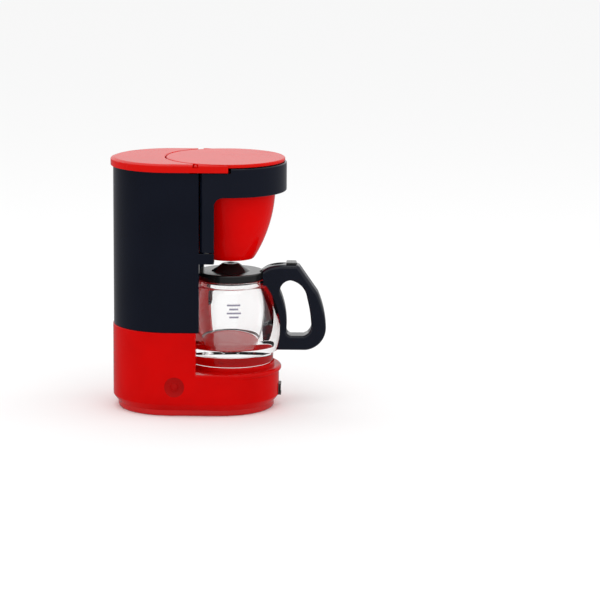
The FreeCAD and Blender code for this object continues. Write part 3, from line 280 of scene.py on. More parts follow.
def build(name, skin, order=(0, 1, 2), signs=(1, 1, 1)):
    """A mesh object in millimetres from a skin; order and signs turn its axes to the toy's."""
    vertices, faces = skin
    vertices = vertices[:, order] * np.array(signs)
    mesh = bpy.data.meshes.new(name)
    mesh.from_pydata(vertices.tolist(), [], [face for rows in faces for face in rows.tolist()])
    skin = bmesh.new()
    skin.from_mesh(mesh)
    bmesh.ops.remove_doubles(skin, verts=skin.verts, dist=DOUBLE_UNDER)
    bmesh.ops.recalc_face_normals(skin, faces=skin.faces)
    skin.to_mesh(mesh)
    skin.free()
    piece = bpy.data.objects.new(name, mesh)
    bpy.context.scene.collection.objects.link(piece)
    return piece


def settle(piece):
    """Put the result of the piece's modifiers into its own mesh."""
    depsgraph = bpy.context.evaluated_depsgraph_get()
    mesh = bpy.data.meshes.new_from_object(piece.evaluated_get(depsgraph))
    piece.modifiers.clear()
    piece.data = mesh


def combine(piece, tool, operation):
    """Unite the piece with another closed skin, or cut that away; the other is then gone."""
    change = piece.modifiers.new("combine", "BOOLEAN")
    change.operation = operation
    change.object = tool
    change.solver = "MANIFOLD"
    settle(piece)
    bpy.data.objects.remove(tool)


def unite(piece, name, skin, *turning):
    """Unite the piece with a skin; turning is build's order and signs."""
    combine(piece, build(name, skin, *turning), "UNION")


def cut(piece, name, skin, *turning):
    """Cut a skin's volume out of the piece."""
    combine(piece, build(name, skin, *turning), "DIFFERENCE")


def smooth(piece, angle=33):
    """Weld the mesh, bring it to metres, shade it smooth and keep the edges sharper than the angle.

    The normals are weighted by the faces' areas, so that flat walls stay flat beside their rounded edges.
    """
    weld = piece.modifiers.new("weld", "WELD")
    weld.merge_threshold = WELD_UNDER
    settle(piece)
    piece.data.transform(Matrix.Scale(MM, 4))
    piece.data.shade_smooth()
    piece.data.set_sharp_from_angle(angle=math.radians(angle))
    weighted = piece.modifiers.new("weighted", "WEIGHTED_NORMAL")
    weighted.keep_sharp = True
    settle(piece)


def stadium(radius, rear, front):
    """Outline of a rectangle with round ends about (0, rear) and (0, front)."""
    return np.concatenate([arc(0, rear, radius, 0, 180), arc(0, front, radius, 180, 360)])


def fronted(radius, rear, face, hollow, corner):
    """Round at the rear, flat at the front face, with the bay's hollow in it and rounded corners."""
    reach = math.sqrt(hollow ** 2 - (face - BAY_Y) ** 2)
    angle = math.degrees(math.atan2(face - BAY_Y, reach))
    bay = arc(0, BAY_Y, hollow, 180 - angle, angle)
    ways = [(radius, face, corner), (radius, rear, 0),
            *((x, y, 0) for x, y in arc(0, rear, radius, 3, 177)), (-radius, rear, 0),
            (-radius, face, corner), (bay[0, 0], bay[0, 1], corner),
            *((x, y, 0) for x, y in bay[1:-1]), (bay[-1, 0], bay[-1, 1], corner)]
    return softened(ways)


def rectangle(left, right, low, high, corner):
    """A rectangle with four equal rounded corners."""
    return softened([(left, low, corner), (right, low, corner),
                     (right, high, corner), (left, high, corner)])


def stretched(outline, low, high):
    """A plain upright block of the outline, for cutting."""
    return shell(outline, [(0, low), (0, high)])


def bow(start, end, radius, steps=25):
    """Points on the short arc of a radius from start to end: positive bows to the right of the way on."""
    start, end = np.array(start, float), np.array(end, float)
    chord = end - start
    length = np.hypot(*chord)
    normal = np.array([chord[1], -chord[0]]) / length
    half = math.asin(length / 2 / abs(radius))
    share = np.linspace(-1, 1, steps)[:, None]
    along = np.sin(share * half) / math.sin(half) * chord / 2
    rise = (np.cos(share * half) - math.cos(half)) * radius
    return (start + end) / 2 + along + rise * normal


def moulded_finish():
    """Node group of a glossy moulding: faint flow clouds in the colour, hair scratches, a slow waviness.

    Colour is the two colours mixed by a large soft noise; Roughness is the base value plus fine stretched
    noise where hands rub; Height is a wide low wave plus the mould's faint grain.
    """
    group = bpy.data.node_groups.new("moulded_finish", "ShaderNodeTree")
    for name, kind in (("Colour", "NodeSocketColor"), ("Deep Colour", "NodeSocketColor"),
                       ("Gloss Roughness", "NodeSocketFloat"), ("Scratches", "NodeSocketFloat"),
                       ("Wave", "NodeSocketFloat")):
        group.interface.new_socket(name, in_out="INPUT", socket_type=kind)
    for name, kind in (("Colour", "NodeSocketColor"), ("Roughness", "NodeSocketFloat"),
                       ("Height", "NodeSocketFloat")):
        group.interface.new_socket(name, in_out="OUTPUT", socket_type=kind)
    nodes, links = group.nodes, group.links
    given, made = nodes.new("NodeGroupInput"), nodes.new("NodeGroupOutput")
    place = nodes.new("ShaderNodeTexCoord")

    def noise(scale, detail, stretch=(1, 1, 1)):
        mapping = nodes.new("ShaderNodeMapping")
        mapping.inputs["Scale"].default_value = stretch
        links.new(place.outputs["Object"], mapping.inputs["Vector"])
        texture = nodes.new("ShaderNodeTexNoise")
        texture.inputs["Scale"].default_value = scale
        texture.inputs["Detail"].default_value = detail
        links.new(mapping.outputs["Vector"], texture.inputs["Vector"])
        return texture.outputs["Fac"]

    def ramp(value, low, high):
        span = nodes.new("ShaderNodeMapRange")
        span.inputs["From Min"].default_value = low
        span.inputs["From Max"].default_value = high
        links.new(value, span.inputs["Value"])
        return span.outputs["Result"]

    def sum_of(first, second, factor):
        step = nodes.new("ShaderNodeMath")
        step.operation = "MULTIPLY_ADD"
        links.new(second, step.inputs[0])
        if isinstance(factor, float):
            step.inputs[1].default_value = factor
        else:
            links.new(factor, step.inputs[1])
        links.new(first, step.inputs[2])
        return step.outputs[0]

    clouds = ramp(noise(70, 3), 0.35, 0.7)
    blend = nodes.new("ShaderNodeMix")
    blend.data_type = "RGBA"
    links.new(clouds, blend.inputs["Factor"])
    links.new(given.outputs["Colour"], blend.inputs["A"])
    links.new(given.outputs["Deep Colour"], blend.inputs["B"])
    links.new(blend.outputs["Result"], made.inputs["Colour"])
    hairs = ramp(noise(900, 2, (1, 0.08, 0.6)), 0.62, 0.72)
    rubbed = ramp(noise(55, 2), 0.45, 0.65)
    both = nodes.new("ShaderNodeMath")
    both.operation = "MULTIPLY"
    links.new(hairs, both.inputs[0])
    links.new(rubbed, both.inputs[1])
    rough = sum_of(given.outputs["Gloss Roughness"], both.outputs[0], given.outputs["Scratches"])
    links.new(sum_of(rough, noise(2500, 2), 0.03), made.inputs["Roughness"])
    grain = nodes.new("ShaderNodeMath")
    grain.operation = "MULTIPLY"
    grain.inputs[1].default_value = 0.02
    links.new(noise(3500, 3), grain.inputs[0])
    height = sum_of(grain.outputs[0], noise(95, 1, (1, 1, 0.45)), given.outputs["Wave"])
    links.new(height, made.inputs["Height"])
    return group


MOULDED = moulded_finish()
WAVE_DEPTH = 0.06 * MM
WAVE_STRENGTH = 0.5
PLASTIC_IOR = 1.5


def moulded_plastic(name, colour, deep, roughness, scratches, wave, level=0.5, tint=(1, 1, 1, 1)):
    """A glossy moulded plastic in its two colours; level and tint say how strong and warm its sheen is."""
    material, nodes, links, shader = new_material(name)
    finish = nodes.new("ShaderNodeGroup")
    finish.node_tree = MOULDED
    finish.inputs["Colour"].default_value = colour
    finish.inputs["Deep Colour"].default_value = deep
    finish.inputs["Gloss Roughness"].default_value = roughness
    finish.inputs["Scratches"].default_value = scratches
    finish.inputs["Wave"].default_value = wave
    bump = nodes.new("ShaderNodeBump")
    bump.inputs["Distance"].default_value = WAVE_DEPTH
    bump.inputs["Strength"].default_value = WAVE_STRENGTH
    links.new(finish.outputs["Height"], bump.inputs["Height"])
    links.new(finish.outputs["Colour"], shader.inputs["Base Color"])
    links.new(finish.outputs["Roughness"], shader.inputs["Roughness"])
    links.new(bump.outputs["Normal"], shader.inputs["Normal"])
    shader.inputs["IOR"].default_value = PLASTIC_IOR
    shader.inputs["Specular IOR Level"].default_value = level
    shader.inputs["Specular Tint"].default_value = tint
    return material


def dress(piece, material, body, slot, *nodes):
    """Give a made piece its material, body and the nodes that it stands for; slot is not used."""
    piece.data.materials.clear()
    piece.data.materials.append(material)
    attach(piece, body)
    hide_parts(*nodes)


def repaint(node, material):
    """Give a node that keeps its own shape a better material, in each of its object's material slots."""
    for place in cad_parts[node].material_slots:
        place.material = material


base_red = moulded_plastic("base_red", RED, RED_DEEP,
                           roughness=0.11, scratches=0.10, wave=1.0, level=0.09)
block = fronted(BASE_HALF, REAR_CENTRE, STEP_FRONT, BAY_RADIUS, BLOCK_CORNER)
belt = [(BELT_IN, PLINTH_TOP), (BELT_IN, PLINTH_TOP + 0.01), (0.12, PLINTH_TOP + BELT_RISE - 0.16),
        (0.03, PLINTH_TOP + BELT_RISE), (0, PLINTH_TOP + BELT_RISE + 0.2)]
tray = stadium(BASE_HALF, REAR_CENTRE, FRONT_CENTRE)
base = build("red_base", shell(tray, belt + wall(TRAY_TOP - 2, TRAY_TOP, 0, BASE_EDGE)[1:]))
rear_block = shell(block, wall(PLINTH_TOP + BELT_RISE + 1, SEAM, 0, 0.15)[1:])
unite(base, "rear_block", rear_block)
lip = wall(TRAY_TOP - LIP_RISE, TRAY_TOP, LIP_EDGE, LIP_EDGE)
unite(base, "lip", shell(circle(LIP_CENTRE, LIP_RADIUS), lip))
plate = wall(TRAY_TOP - 1, PLATE_TOP + PLATE_INTO_FOOT, 0, PLATE_EDGE)[1:]
unite(base, "plate", shell(circle(BAY_Y, PLATE_RADIUS), plate))


def bay_strip(half, inner, outer):
    """Outline of a curved strip between two radii about the bay's axis, of a half width across the toy."""
    near, far = (math.degrees(math.acos(half / radius)) for radius in (inner, outer))
    return np.concatenate([arc(0, BAY_Y, outer, far, 180 - far), arc(0, BAY_Y, inner, 180 - near, near)])


tongue = bay_strip(TONGUE_HALF, BAY_RADIUS, BAY_RADIUS + TONGUE_DEEP)
tongue_skin = shell(tongue, wall(SEAM - 1.5, TONGUE_TOP, 0, TONGUE_EDGE)[1:])
unite(base, "tongue", tongue_skin)
window = stretched(rectangle(*SWITCH_WINDOW), WINDOW_FLOOR, BASE_HALF - FRONT_CENTRE + 1)
cut(base, "window", window, (0, 2, 1), (1, -1, 1))
dish = [*GATE_PIP, (0.98, GATE_DEPTH), (1.7, GATE_DEPTH), (GATE_RADIUS - 0.1, 0.1), (GATE_RADIUS + 0.05, 0),
        (GATE_RADIUS + 0.05, -1), (0, -1)]
turned, faces = lathe(dish, 0, 0, 96)
turned += (*GATE, -BASE_HALF)
cut(base, "gate_mark", (turned, faces), ACROSS)
smooth(base)
dress(base, base_red, "machine", "red_plastic", "base_housing")
plate_red = moulded_plastic("plate_red", RED, RED_DEEP,
                            roughness=0.6, scratches=0.02, wave=0.3, level=0.0)
base.data.materials.append(plate_red)
middles, normals = np.empty(len(base.data.polygons) * 3), np.empty(len(base.data.polygons) * 3)
base.data.polygons.foreach_get("center", middles)
base.data.polygons.foreach_get("normal", normals)
height = middles[2::3] / MM
matte = (height > TRAY_TOP + 0.3) & (height < PLATE_TOP + 0.1) & (normals[2::3] > UPWARD)
# The moulding mark's dish faces (pressed, below) get a darker red, painted shade in the recess; its higher
# roughness is the mark's real dullness.
gate_painted_shade = moulded_plastic("gate_painted_shade", GATE_SHADE_RED, RED_DEEP,
                           roughness=0.3, scratches=0.1, wave=0.3, level=0.1)
base.data.materials.append(gate_painted_shade)
from_gate = np.hypot(middles[1::3] - GATE[0] * MM, middles[2::3] - GATE[1] * MM)
into = BASE_HALF - np.hypot(middles[0::3], np.maximum(middles[1::3] - REAR_CENTRE * MM, 0)) / MM
pressed = (from_gate < GATE_RADIUS * MM) & (into > PRESSED_FROM) & (into < GATE_DEPTH + 0.05)
base.data.polygons.foreach_set("material_index", (matte + 2 * pressed).astype(np.int32))

# Bottom cover: the flat plinth that closes the base, screwed on from below. It keeps its own shape.
repaint("bottom_cover", moulded_plastic("cover_red", RED_DEEP, RED,
                                        roughness=0.2, scratches=0.12, wave=0.6))

# Steel parts: slotted screws, the filter holder's hinge pin and the carafe lid's pin. They are turned and
# zinc-plated, and keep their own shapes.
STEEL = (0.62, 0.61, 0.58, 1)
STEEL_DULL = (0.45, 0.44, 0.42, 1)
TURNING_DEPTH = 0.01 * MM


def turned_steel(name):
    """Zinc-plated steel: fine turning lines across the axis and a cloudy plating."""
    material, nodes, links, shader = new_material(name)
    shader.inputs["Metallic"].default_value = 1
    place = nodes.new("ShaderNodeTexCoord")
    clouds = nodes.new("ShaderNodeTexNoise")
    clouds.inputs["Scale"].default_value = 1200
    links.new(place.outputs["Object"], clouds.inputs["Vector"])
    tint = nodes.new("ShaderNodeValToRGB")
    tint.color_ramp.elements[0].color = STEEL_DULL
    tint.color_ramp.elements[1].color = STEEL
    links.new(clouds.outputs["Fac"], tint.inputs["Fac"])
    links.new(tint.outputs["Color"], shader.inputs["Base Color"])
    lines = nodes.new("ShaderNodeTexWave")
    lines.bands_direction = "Z"
    lines.inputs["Scale"].default_value = 2500
    lines.inputs["Distortion"].default_value = 1.5
    links.new(place.outputs["Object"], lines.inputs["Vector"])
    bump = nodes.new("ShaderNodeBump")
    bump.inputs["Distance"].default_value = TURNING_DEPTH
    bump.inputs["Strength"].default_value = 0.4
    links.new(lines.outputs["Fac"], bump.inputs["Height"])
    links.new(bump.outputs["Normal"], shader.inputs["Normal"])
    span = nodes.new("ShaderNodeMapRange")
    span.inputs["To Min"].default_value = 0.25
    span.inputs["To Max"].default_value = 0.42
    links.new(clouds.outputs["Fac"], span.inputs["Value"])
    links.new(span.outputs["Result"], shader.inputs["Roughness"])
    return material


screw_steel = turned_steel("screw_steel")
for node in ("cover_screws", "column_screws", "hinge_pin", "lid_pin"):
    repaint(node, screw_steel)

# Rocker switch in the front of the tray: a small dark moulding with a dished face, clipped in on two stub
# pins. Its upper and lower edge are pressed in turn.
switch_low, switch_high = box_mm("power_switch")
SWITCH_HALF = 1.8
SWITCH_GREY = (0.045, 0.036, 0.033, 1)
SWITCH_DARK = (0.025, 0.020, 0.018, 1)
SWITCH_DISH = 3.2
SWITCH_EDGE = 0.22
(front, foot), (rear, head) = switch_low[1:], switch_high[1:]
face = bow((front, head - SWITCH_EDGE), (front, foot + SWITCH_EDGE), -SWITCH_DISH)
side = softened([(rear, foot, 0.3), (rear, head, 0.3), (front, head, 0.1), *((y, z, 0) for y, z in face),
                 (front, foot, 0.1)])
switch = build("rocker", shell(side, wall(-SWITCH_HALF, SWITCH_HALF, 0.15, 0.15)), ACROSS)
smooth(switch, 40)
rocker_grey = moulded_plastic("rocker_grey", SWITCH_GREY, SWITCH_DARK,
                              roughness=0.38, scratches=0.2, wave=0.3)
dress(switch, rocker_grey, "switch", "switch_plastic", "power_switch")

# Dark column: the blue-black water tank, open on top under the lid, round at the rear and hollowed in
# front for the carafe. Two small ledges at its front corners carry the filter holder.
NAVY = (0.0034, 0.0050, 0.0115, 1)
NAVY_DEEP = (0.0026, 0.0038, 0.0092, 1)
NAVY_EDGE = (0.0046, 0.0062, 0.0130, 1)
COLUMN_HALF = column_high[0]
COLUMN_TOP = column_high[2]
COLUMN_FACE = -1.06
COLUMN_WALL = 1.2
LEDGE = (36.6, 39.15)
SEAT_GAP = 0.08
RELIEF = (-10.7, 10.7, 0.45, 6.3, 0.2)
RELIEF_FOOT = 53.6
LOW_RIM = (-20, 20, -3, 1.2, 0.2)
LOW_RIM_TOP = 58.0
LEDGE_EDGE = (0.25, 0.12)
COLUMN_EDGE = (0.12, 0.2)
STRIP_WIDE = 3.2
STRIP_FRONT = column_low[1]
navy = moulded_plastic("column_navy", NAVY, NAVY_DEEP,
                       roughness=0.11, scratches=0.10, wave=1.6, level=0.2)
outline = fronted(COLUMN_HALF, REAR_CENTRE, COLUMN_FACE, BAY_RADIUS, 0.3)
column = build("dark_column", shell(outline, wall(SEAM, COLUMN_TOP, *COLUMN_EDGE)))
tank = fronted(COLUMN_HALF - COLUMN_WALL, REAR_CENTRE, COLUMN_WALL + COLUMN_FACE,
               BAY_RADIUS + COLUMN_WALL, 0.5)
cut(column, "tank", stretched(tank, SEAM + COLUMN_WALL, COLUMN_TOP + 1))
seat = bay_strip(TONGUE_HALF + SEAT_GAP, BAY_RADIUS - 0.5, BAY_RADIUS + TONGUE_DEEP + SEAT_GAP)
cut(column, "seat", stretched(seat, SEAM - 1, TONGUE_TOP + 0.05))
cut(column, "relief", stretched(rectangle(*RELIEF), RELIEF_FOOT, COLUMN_TOP + 1))
cut(column, "low_rim", stretched(rectangle(*LOW_RIM), LOW_RIM_TOP, COLUMN_TOP + 1))
for turn in (-1, 1):
    inner, outer = sorted((turn * (COLUMN_HALF - STRIP_WIDE), turn * COLUMN_HALF))
    block = softened([(inner, STRIP_FRONT, 0.3), (outer, STRIP_FRONT, 0.3), (outer, -0.5, 0.1),
                      (inner, -0.5, 0.1)])
    unite(column, "ledge", shell(block, wall(*LEDGE, *LEDGE_EDGE)))
smooth(column)
dress(column, navy, "machine", "navy_plastic", "column_shell")

# Filter holder: the head's dark band with a round floor that carries the basket, and two strips down to
# the ledges. It is one moulding that swings out on a steel pin in its left strip.
holder_low, holder_high = box_mm("filter_holder")
HEAD_CENTRE = holder_low[1] + COLUMN_HALF
HOLDER_REAR = -1.15
KNUCKLE = 1.6
BAND = (52.3, holder_high[2])
BAND_WALL = 1.3
LOW_BAND = (58.05, -8.55)
HOLDER_FLOOR = 2.0
BASKET_HOLE = 10.85
BACK_OPEN = 11.6
BACK_REACH = 5
OPENING_ROUND = 1.9
BAND_EDGE = (0.35, 0.3)
BACK_EDGE = (0.3, 0.2)
head = np.concatenate([arc(0, HEAD_CENTRE, COLUMN_HALF, 180, 360),
                       arc(COLUMN_HALF - KNUCKLE, HOLDER_REAR - KNUCKLE, KNUCKLE, 0, 90, 12),
                       arc(KNUCKLE - COLUMN_HALF, HOLDER_REAR - KNUCKLE, KNUCKLE, 90, 180, 12)])
band = build("filter_holder_body", shell(head, wall(*BAND, *BAND_EDGE)))
back_floor = circle(BAY_Y, BAY_RADIUS - 0.35)
unite(band, "back", shell(back_floor, wall(BAND[0], BAND[0] + HOLDER_FLOOR, *BACK_EDGE)))
for turn in (-1, 1):
    corners = [(STRIP_WIDE, STRIP_FRONT, 0.25), (0, STRIP_FRONT, 0.3), (0, HOLDER_REAR, KNUCKLE),
               (STRIP_WIDE, HOLDER_REAR, 0.25)]
    strip = softened([(turn * (COLUMN_HALF - x), y, radius) for x, y, radius in corners][::turn])
    unite(band, "strip", shell(strip, wall(holder_low[2], BAND[0] + 1, 0.2, 0)[:-1]))
    bend = arc(STRIP_FRONT - OPENING_ROUND, BAND[0] - OPENING_ROUND, OPENING_ROUND, 90, 0, 9)
    wedge = np.concatenate([bend, [(STRIP_FRONT + 0.5, BAND[0] - OPENING_ROUND),
                                   (STRIP_FRONT + 0.5, BAND[0] + 0.6),
                                   (STRIP_FRONT - OPENING_ROUND, BAND[0] + 0.6)]])
    span = sorted((turn * (COLUMN_HALF - STRIP_WIDE), turn * (COLUMN_HALF - 0.001)))
    unite(band, "opening_corner", stretched(wedge, *span), ACROSS)
inner = COLUMN_HALF - BAND_WALL
back_edge = HOLDER_REAR - BAND_WALL
cavity = np.concatenate([arc(0, HEAD_CENTRE, inner, 180, 360),
                         [(inner, back_edge), (BACK_OPEN, back_edge), (BACK_OPEN, BACK_REACH),
                          (-BACK_OPEN, BACK_REACH), (-BACK_OPEN, back_edge), (-inner, back_edge)]])
cut(band, "cavity", stretched(cavity, BAND[0] + HOLDER_FLOOR, BAND[1] + 1))
cut(band, "hole", stretched(circle(BAY_Y, BASKET_HOLE), BAND[0] - 1, BAND[1]))
cut(band, "low_band", stretched(rectangle(-20, 20, LOW_BAND[1], 3, 0.2), LOW_BAND[0], BAND[1] + 1))
smooth(band)
holder_navy = moulded_plastic("holder_navy", NAVY_EDGE, NAVY,
                              roughness=0.11, scratches=0.10, wave=1.2, level=0.24)
dress(band, holder_navy, "holder", "navy_plastic", "filter_holder")

# Filter basket: a red moulded bowl with a flange that rests in the holder's band, and a short drip nozzle
# under it. It is clipped in and swings out with the holder.
basket_low, basket_high = box_mm("filter_basket")
BASKET_TOP = (10.62, BAND[0])
BASKET_FOOT = (5.66, 36.1)
BASKET_WALL = 0.9
BASKET_BOW = 33.0
BASKET_IN_BOW = 32.1
NOZZLE_BORE = 0.4
NOZZLE_RADIUS = 0.95
BASKET_RED = (0.68, 0.0004, 0.0002, 1)
BASKET_DEEP = (0.60, 0.0003, 0.0002, 1)
skirt = bow(BASKET_FOOT, BASKET_TOP, BASKET_BOW)
inside = bow((BASKET_TOP[0] - BASKET_WALL, BASKET_TOP[1]),
             (BASKET_FOOT[0] - 0.6, BASKET_FOOT[1] + BASKET_WALL), -BASKET_IN_BOW)
flange = BAND[0] + HOLDER_FLOOR
ways = [(NOZZLE_BORE, basket_low[2], 0.1), (NOZZLE_RADIUS, basket_low[2], 0.15),
        (NOZZLE_RADIUS + 0.1, BASKET_FOOT[1] - 0.42, 0.12),
        (BASKET_FOOT[0] - 0.15, BASKET_FOOT[1] - 0.15, 0.3),
        *((x, z, 0) for x, z in skirt[1:]),
        (BASKET_TOP[0], flange, 0), (basket_high[0], flange, 0.15), (basket_high[0], basket_high[2], 0.25),
        (BASKET_TOP[0] - BASKET_WALL, basket_high[2], 0.3), *((x, z, 0) for x, z in inside),
        (NOZZLE_BORE, BASKET_FOOT[1] + 0.4, 0.1)]
basket = build("red_basket", lathe(softened(ways)))
smooth(basket)
basket_red = moulded_plastic("basket_red", BASKET_RED, BASKET_DEEP,
                             roughness=0.12, scratches=0.05, wave=0.6, level=0.09)
dress(basket, basket_red, "holder", "basket_plastic", "filter_basket")

# Tank lid: red, with a thin skirt over the column's rim, a round cut for the brew cover and a slot on each
# side for its stub pins. It is pressed on by hand, and its flat polished top mirrors the surroundings.
lid_low, lid_high = box_mm("tank_lid")
LID_RED = (0.66, 0.0030, 0.0020, 1)
LID_DEEP = (0.60, 0.0022, 0.0015, 1)
LID_SHEEN = (1.0, 0.75, 0.55, 1)
DISC_CENTRE = -6.8
DISC_RADIUS = 14.1
DISC_GAP = 0.25
GROOVE_ROUND = 0.32
LID_HALF = lid_high[0]
LID_SKIRT = 0.45
HORN_FRONT = lid_low[1]
STUB_AXIS = (-0.3, 59.3)
STUB_RADIUS = 0.6
SLOT_RADIUS = 0.66
SLOT_TOP = 61.5
SLOT_REACH = 14.25
MOUTH_FOOT = 59.45
MOUTH_REACH = 15.5
BEARING_IN = 12.9
BEARING_FOOT = 58.4
horns = softened([(LID_HALF, HORN_FRONT, 0.1), (LID_HALF, REAR_CENTRE, 0),
                  *((x, y, 0) for x, y in arc(0, REAR_CENTRE, LID_HALF, 3, 177)),
                  (-LID_HALF, REAR_CENTRE, 0), (-LID_HALF, HORN_FRONT, 0.1)])
bevel = [(0.06, lid_low[2]), (0, lid_low[2] + 0.06), (0, lid_high[2] - 0.45), (0.03, lid_high[2] - 0.37),
         (0.12, lid_high[2] - 0.29), (0.9, lid_high[2] - 0.03), (1.05, lid_high[2]), (1.2, lid_high[2])]
lid = build("red_lid", shell(horns, bevel))
inner = LID_HALF - LID_SKIRT
inside = np.concatenate([arc(0, REAR_CENTRE, inner, 0, 180),
                         [(-inner, HORN_FRONT - 1), (inner, HORN_FRONT - 1)]])
cut(lid, "inside", stretched(inside, lid_low[2] - 1, COLUMN_TOP))
for turn in (-1, 1):
    inner, outer = sorted((turn * BEARING_IN, turn * (LID_HALF - 0.2)))
    bearing = rectangle(inner, outer, STUB_AXIS[0] - 1.2, STUB_AXIS[0] + 1.2, 0.2)
    unite(lid, "bearing", stretched(bearing, BEARING_FOOT, COLUMN_TOP + 0.2))
disc_cut = circle(DISC_CENTRE, DISC_RADIUS + DISC_GAP)
turn = np.radians(np.linspace(0, 90, ROUND_STEPS))
flare = list(zip(GROOVE_ROUND * (np.cos(turn) - 1), lid_high[2] - GROOVE_ROUND * (1 - np.sin(turn))))
rows = [(0, lid_low[2] - 1)] + flare
rows += [(-GROOVE_ROUND - 0.3, lid_high[2]), (-GROOVE_ROUND - 0.3, lid_high[2] + 1)]
cut(lid, "disc_cut", shell(disc_cut, rows))
near, far = STUB_AXIS[0] - SLOT_RADIUS, STUB_AXIS[0] + SLOT_RADIUS
slot_outline = np.concatenate([arc(*STUB_AXIS, SLOT_RADIUS, 180, 360, 15),
                               [(far, SLOT_TOP), (near, SLOT_TOP)]])
cut(lid, "slot", stretched(slot_outline, -SLOT_REACH, SLOT_REACH), ACROSS)
mouth = softened([(near, MOUTH_FOOT, 0.12), (far, MOUTH_FOOT, 0.12),
                  (far, SLOT_TOP, 0), (near, SLOT_TOP, 0)])
cut(lid, "mouth", stretched(mouth, -MOUTH_REACH, MOUTH_REACH), ACROSS)
smooth(lid, 25)
lid_red = moulded_plastic("lid_red", LID_RED, LID_DEEP,
                          roughness=0.2, scratches=0.12, wave=0.5, level=0.15, tint=LID_SHEEN)
dress(lid, lid_red, "top_lid", "lid_plastic", "tank_lid")

# Brew cover: a round disc of the lid's red plastic, in front of the lid, that tilts up on two stub pins
# moulded on its sides. Filter and coffee go in under it.
disc_high = box_mm("filter_cover")[1]
DISC_FOOT = 59.4
STUB_IN = 11.5
ring = circle(DISC_CENTRE, DISC_RADIUS)
disc = build("brew_cover_disc", shell(ring, wall(DISC_FOOT, disc_high[2], 0.1, GROOVE_ROUND)))
stub = arc(*STUB_AXIS, STUB_RADIUS, 0, 345, 15)
for turn in (-1, 1):
    span = sorted((turn * STUB_IN, turn * disc_high[0]))
    unite(disc, "stub", shell(stub, wall(*span, 0.08, 0.08)), ACROSS)
smooth(disc, 25)
disc_red = moulded_plastic("disc_red", LID_RED, LID_DEEP,
                           roughness=0.2, scratches=0.12, wave=0.4, level=0.15, tint=LID_SHEEN)
dress(disc, disc_red, "brew_cover", "lid_plastic", "filter_cover")

# Carafe: a clear plastic pot moulded in one and polished, with a thick floor on an upright foot ring, a
# round belly and a flat shoulder under a short neck. Its cavity narrows downwards, so that the walls are
# thick. Light and scattered rays pass straight through, and the red plate stays lit under it.
GLASS_WALL = 0.9
BELLY = (glass_high[0], 19.4)
SHOULDER = 29.5
NECK = 8.1
NECK_TOP = glass_high[2]
FLOOR = glass_low[2] + 4.0
CAVITY_FOOT = 6.8
LOWER_BOW, UPPER_BOW = 19.5, 17.4
FOOT_RING = 2.5
CAVITY_BOW = 17.0
CLEAR = (0.985, 0.99, 0.99, 1)
CLEAR_IOR = 1.49
CLEAR_LEVEL = 0.3
FLOW_DEPTH = 0.03 * MM
LIGHT_THROUGH = (0.92, 0.92, 0.92, 1)
CARAFE_STEPS = 192


def side_radius(height, inset=0.0):
    """Radius of the carafe's side at a height: two arcs that meet at the belly."""
    height = np.asarray(height, float)
    bend = np.where(height < BELLY[1], LOWER_BOW, UPPER_BOW)
    return BELLY[0] - bend + np.sqrt((bend - inset) ** 2 - (height - BELLY[1]) ** 2)


outer_z = np.linspace(glass_low[2] + FOOT_RING + 0.35, SHOULDER - 0.7, 40)
foot = float(side_radius(glass_low[2]))
cavity = bow((NECK - GLASS_WALL, SHOULDER - 0.5), (CAVITY_FOOT, FLOOR), -CAVITY_BOW)
ways = [(0, glass_low[2], 0), (foot - 0.02, glass_low[2], 0.3),
        (foot + 0.1, glass_low[2] + FOOT_RING, 0.15),
        *((float(side_radius(z)), z, 0) for z in outer_z),
        (float(side_radius(SHOULDER)) - 0.05, SHOULDER + 0.02, 0.55), (NECK, SHOULDER + 0.05, 0.3),
        (NECK, NECK_TOP, 0.2), (NECK - GLASS_WALL, NECK_TOP, 0.2), *((x, z, 0) for x, z in cavity[:-1]),
        (CAVITY_FOOT, FLOOR, 0.4), (0, FLOOR, 0)]
carafe = build("clear_carafe", lathe(softened(ways, 9), count=CARAFE_STEPS))
smooth(carafe, 50)
material, nodes, links, shader = new_material("clear_plastic")
shader.inputs["Base Color"].default_value = CLEAR
shader.inputs["Transmission Weight"].default_value = 1
shader.inputs["IOR"].default_value = CLEAR_IOR
shader.inputs["Specular IOR Level"].default_value = CLEAR_LEVEL
place = nodes.new("ShaderNodeTexCoord")
flow = nodes.new("ShaderNodeTexNoise")
flow.inputs["Scale"].default_value = 160
flow.inputs["Detail"].default_value = 2
links.new(place.outputs["Object"], flow.inputs["Vector"])
bump = nodes.new("ShaderNodeBump")
bump.inputs["Distance"].default_value = FLOW_DEPTH
bump.inputs["Strength"].default_value = 0.5
links.new(flow.outputs["Fac"], bump.inputs["Height"])
links.new(bump.outputs["Normal"], shader.inputs["Normal"])
smear = nodes.new("ShaderNodeMapRange")
smear.inputs["From Min"].default_value = 0.55
smear.inputs["From Max"].default_value = 0.75
smear.inputs["To Min"].default_value = 0
smear.inputs["To Max"].default_value = 0.05
links.new(flow.outputs["Fac"], smear.inputs["Value"])
links.new(smear.outputs["Result"], shader.inputs["Roughness"])
letting_light = nodes.new("ShaderNodeBsdfTransparent")
letting_light.inputs["Color"].default_value = LIGHT_THROUGH
path = nodes.new("ShaderNodeLightPath")
lit_through = nodes.new("ShaderNodeMath")
lit_through.operation = "MAXIMUM"
links.new(path.outputs["Is Shadow Ray"], lit_through.inputs[0])
links.new(path.outputs["Is Diffuse Ray"], lit_through.inputs[1])
choice = nodes.new("ShaderNodeMixShader")
links.new(lit_through.outputs[0], choice.inputs["Fac"])
links.new(shader.outputs["BSDF"], choice.inputs[1])
links.new(letting_light.outputs["BSDF"], choice.inputs[2])
links.new(choice.outputs["Shader"], nodes["Material Output"].inputs["Surface"])
dress(carafe, material, "carafe", "clear_plastic", "carafe_glass")

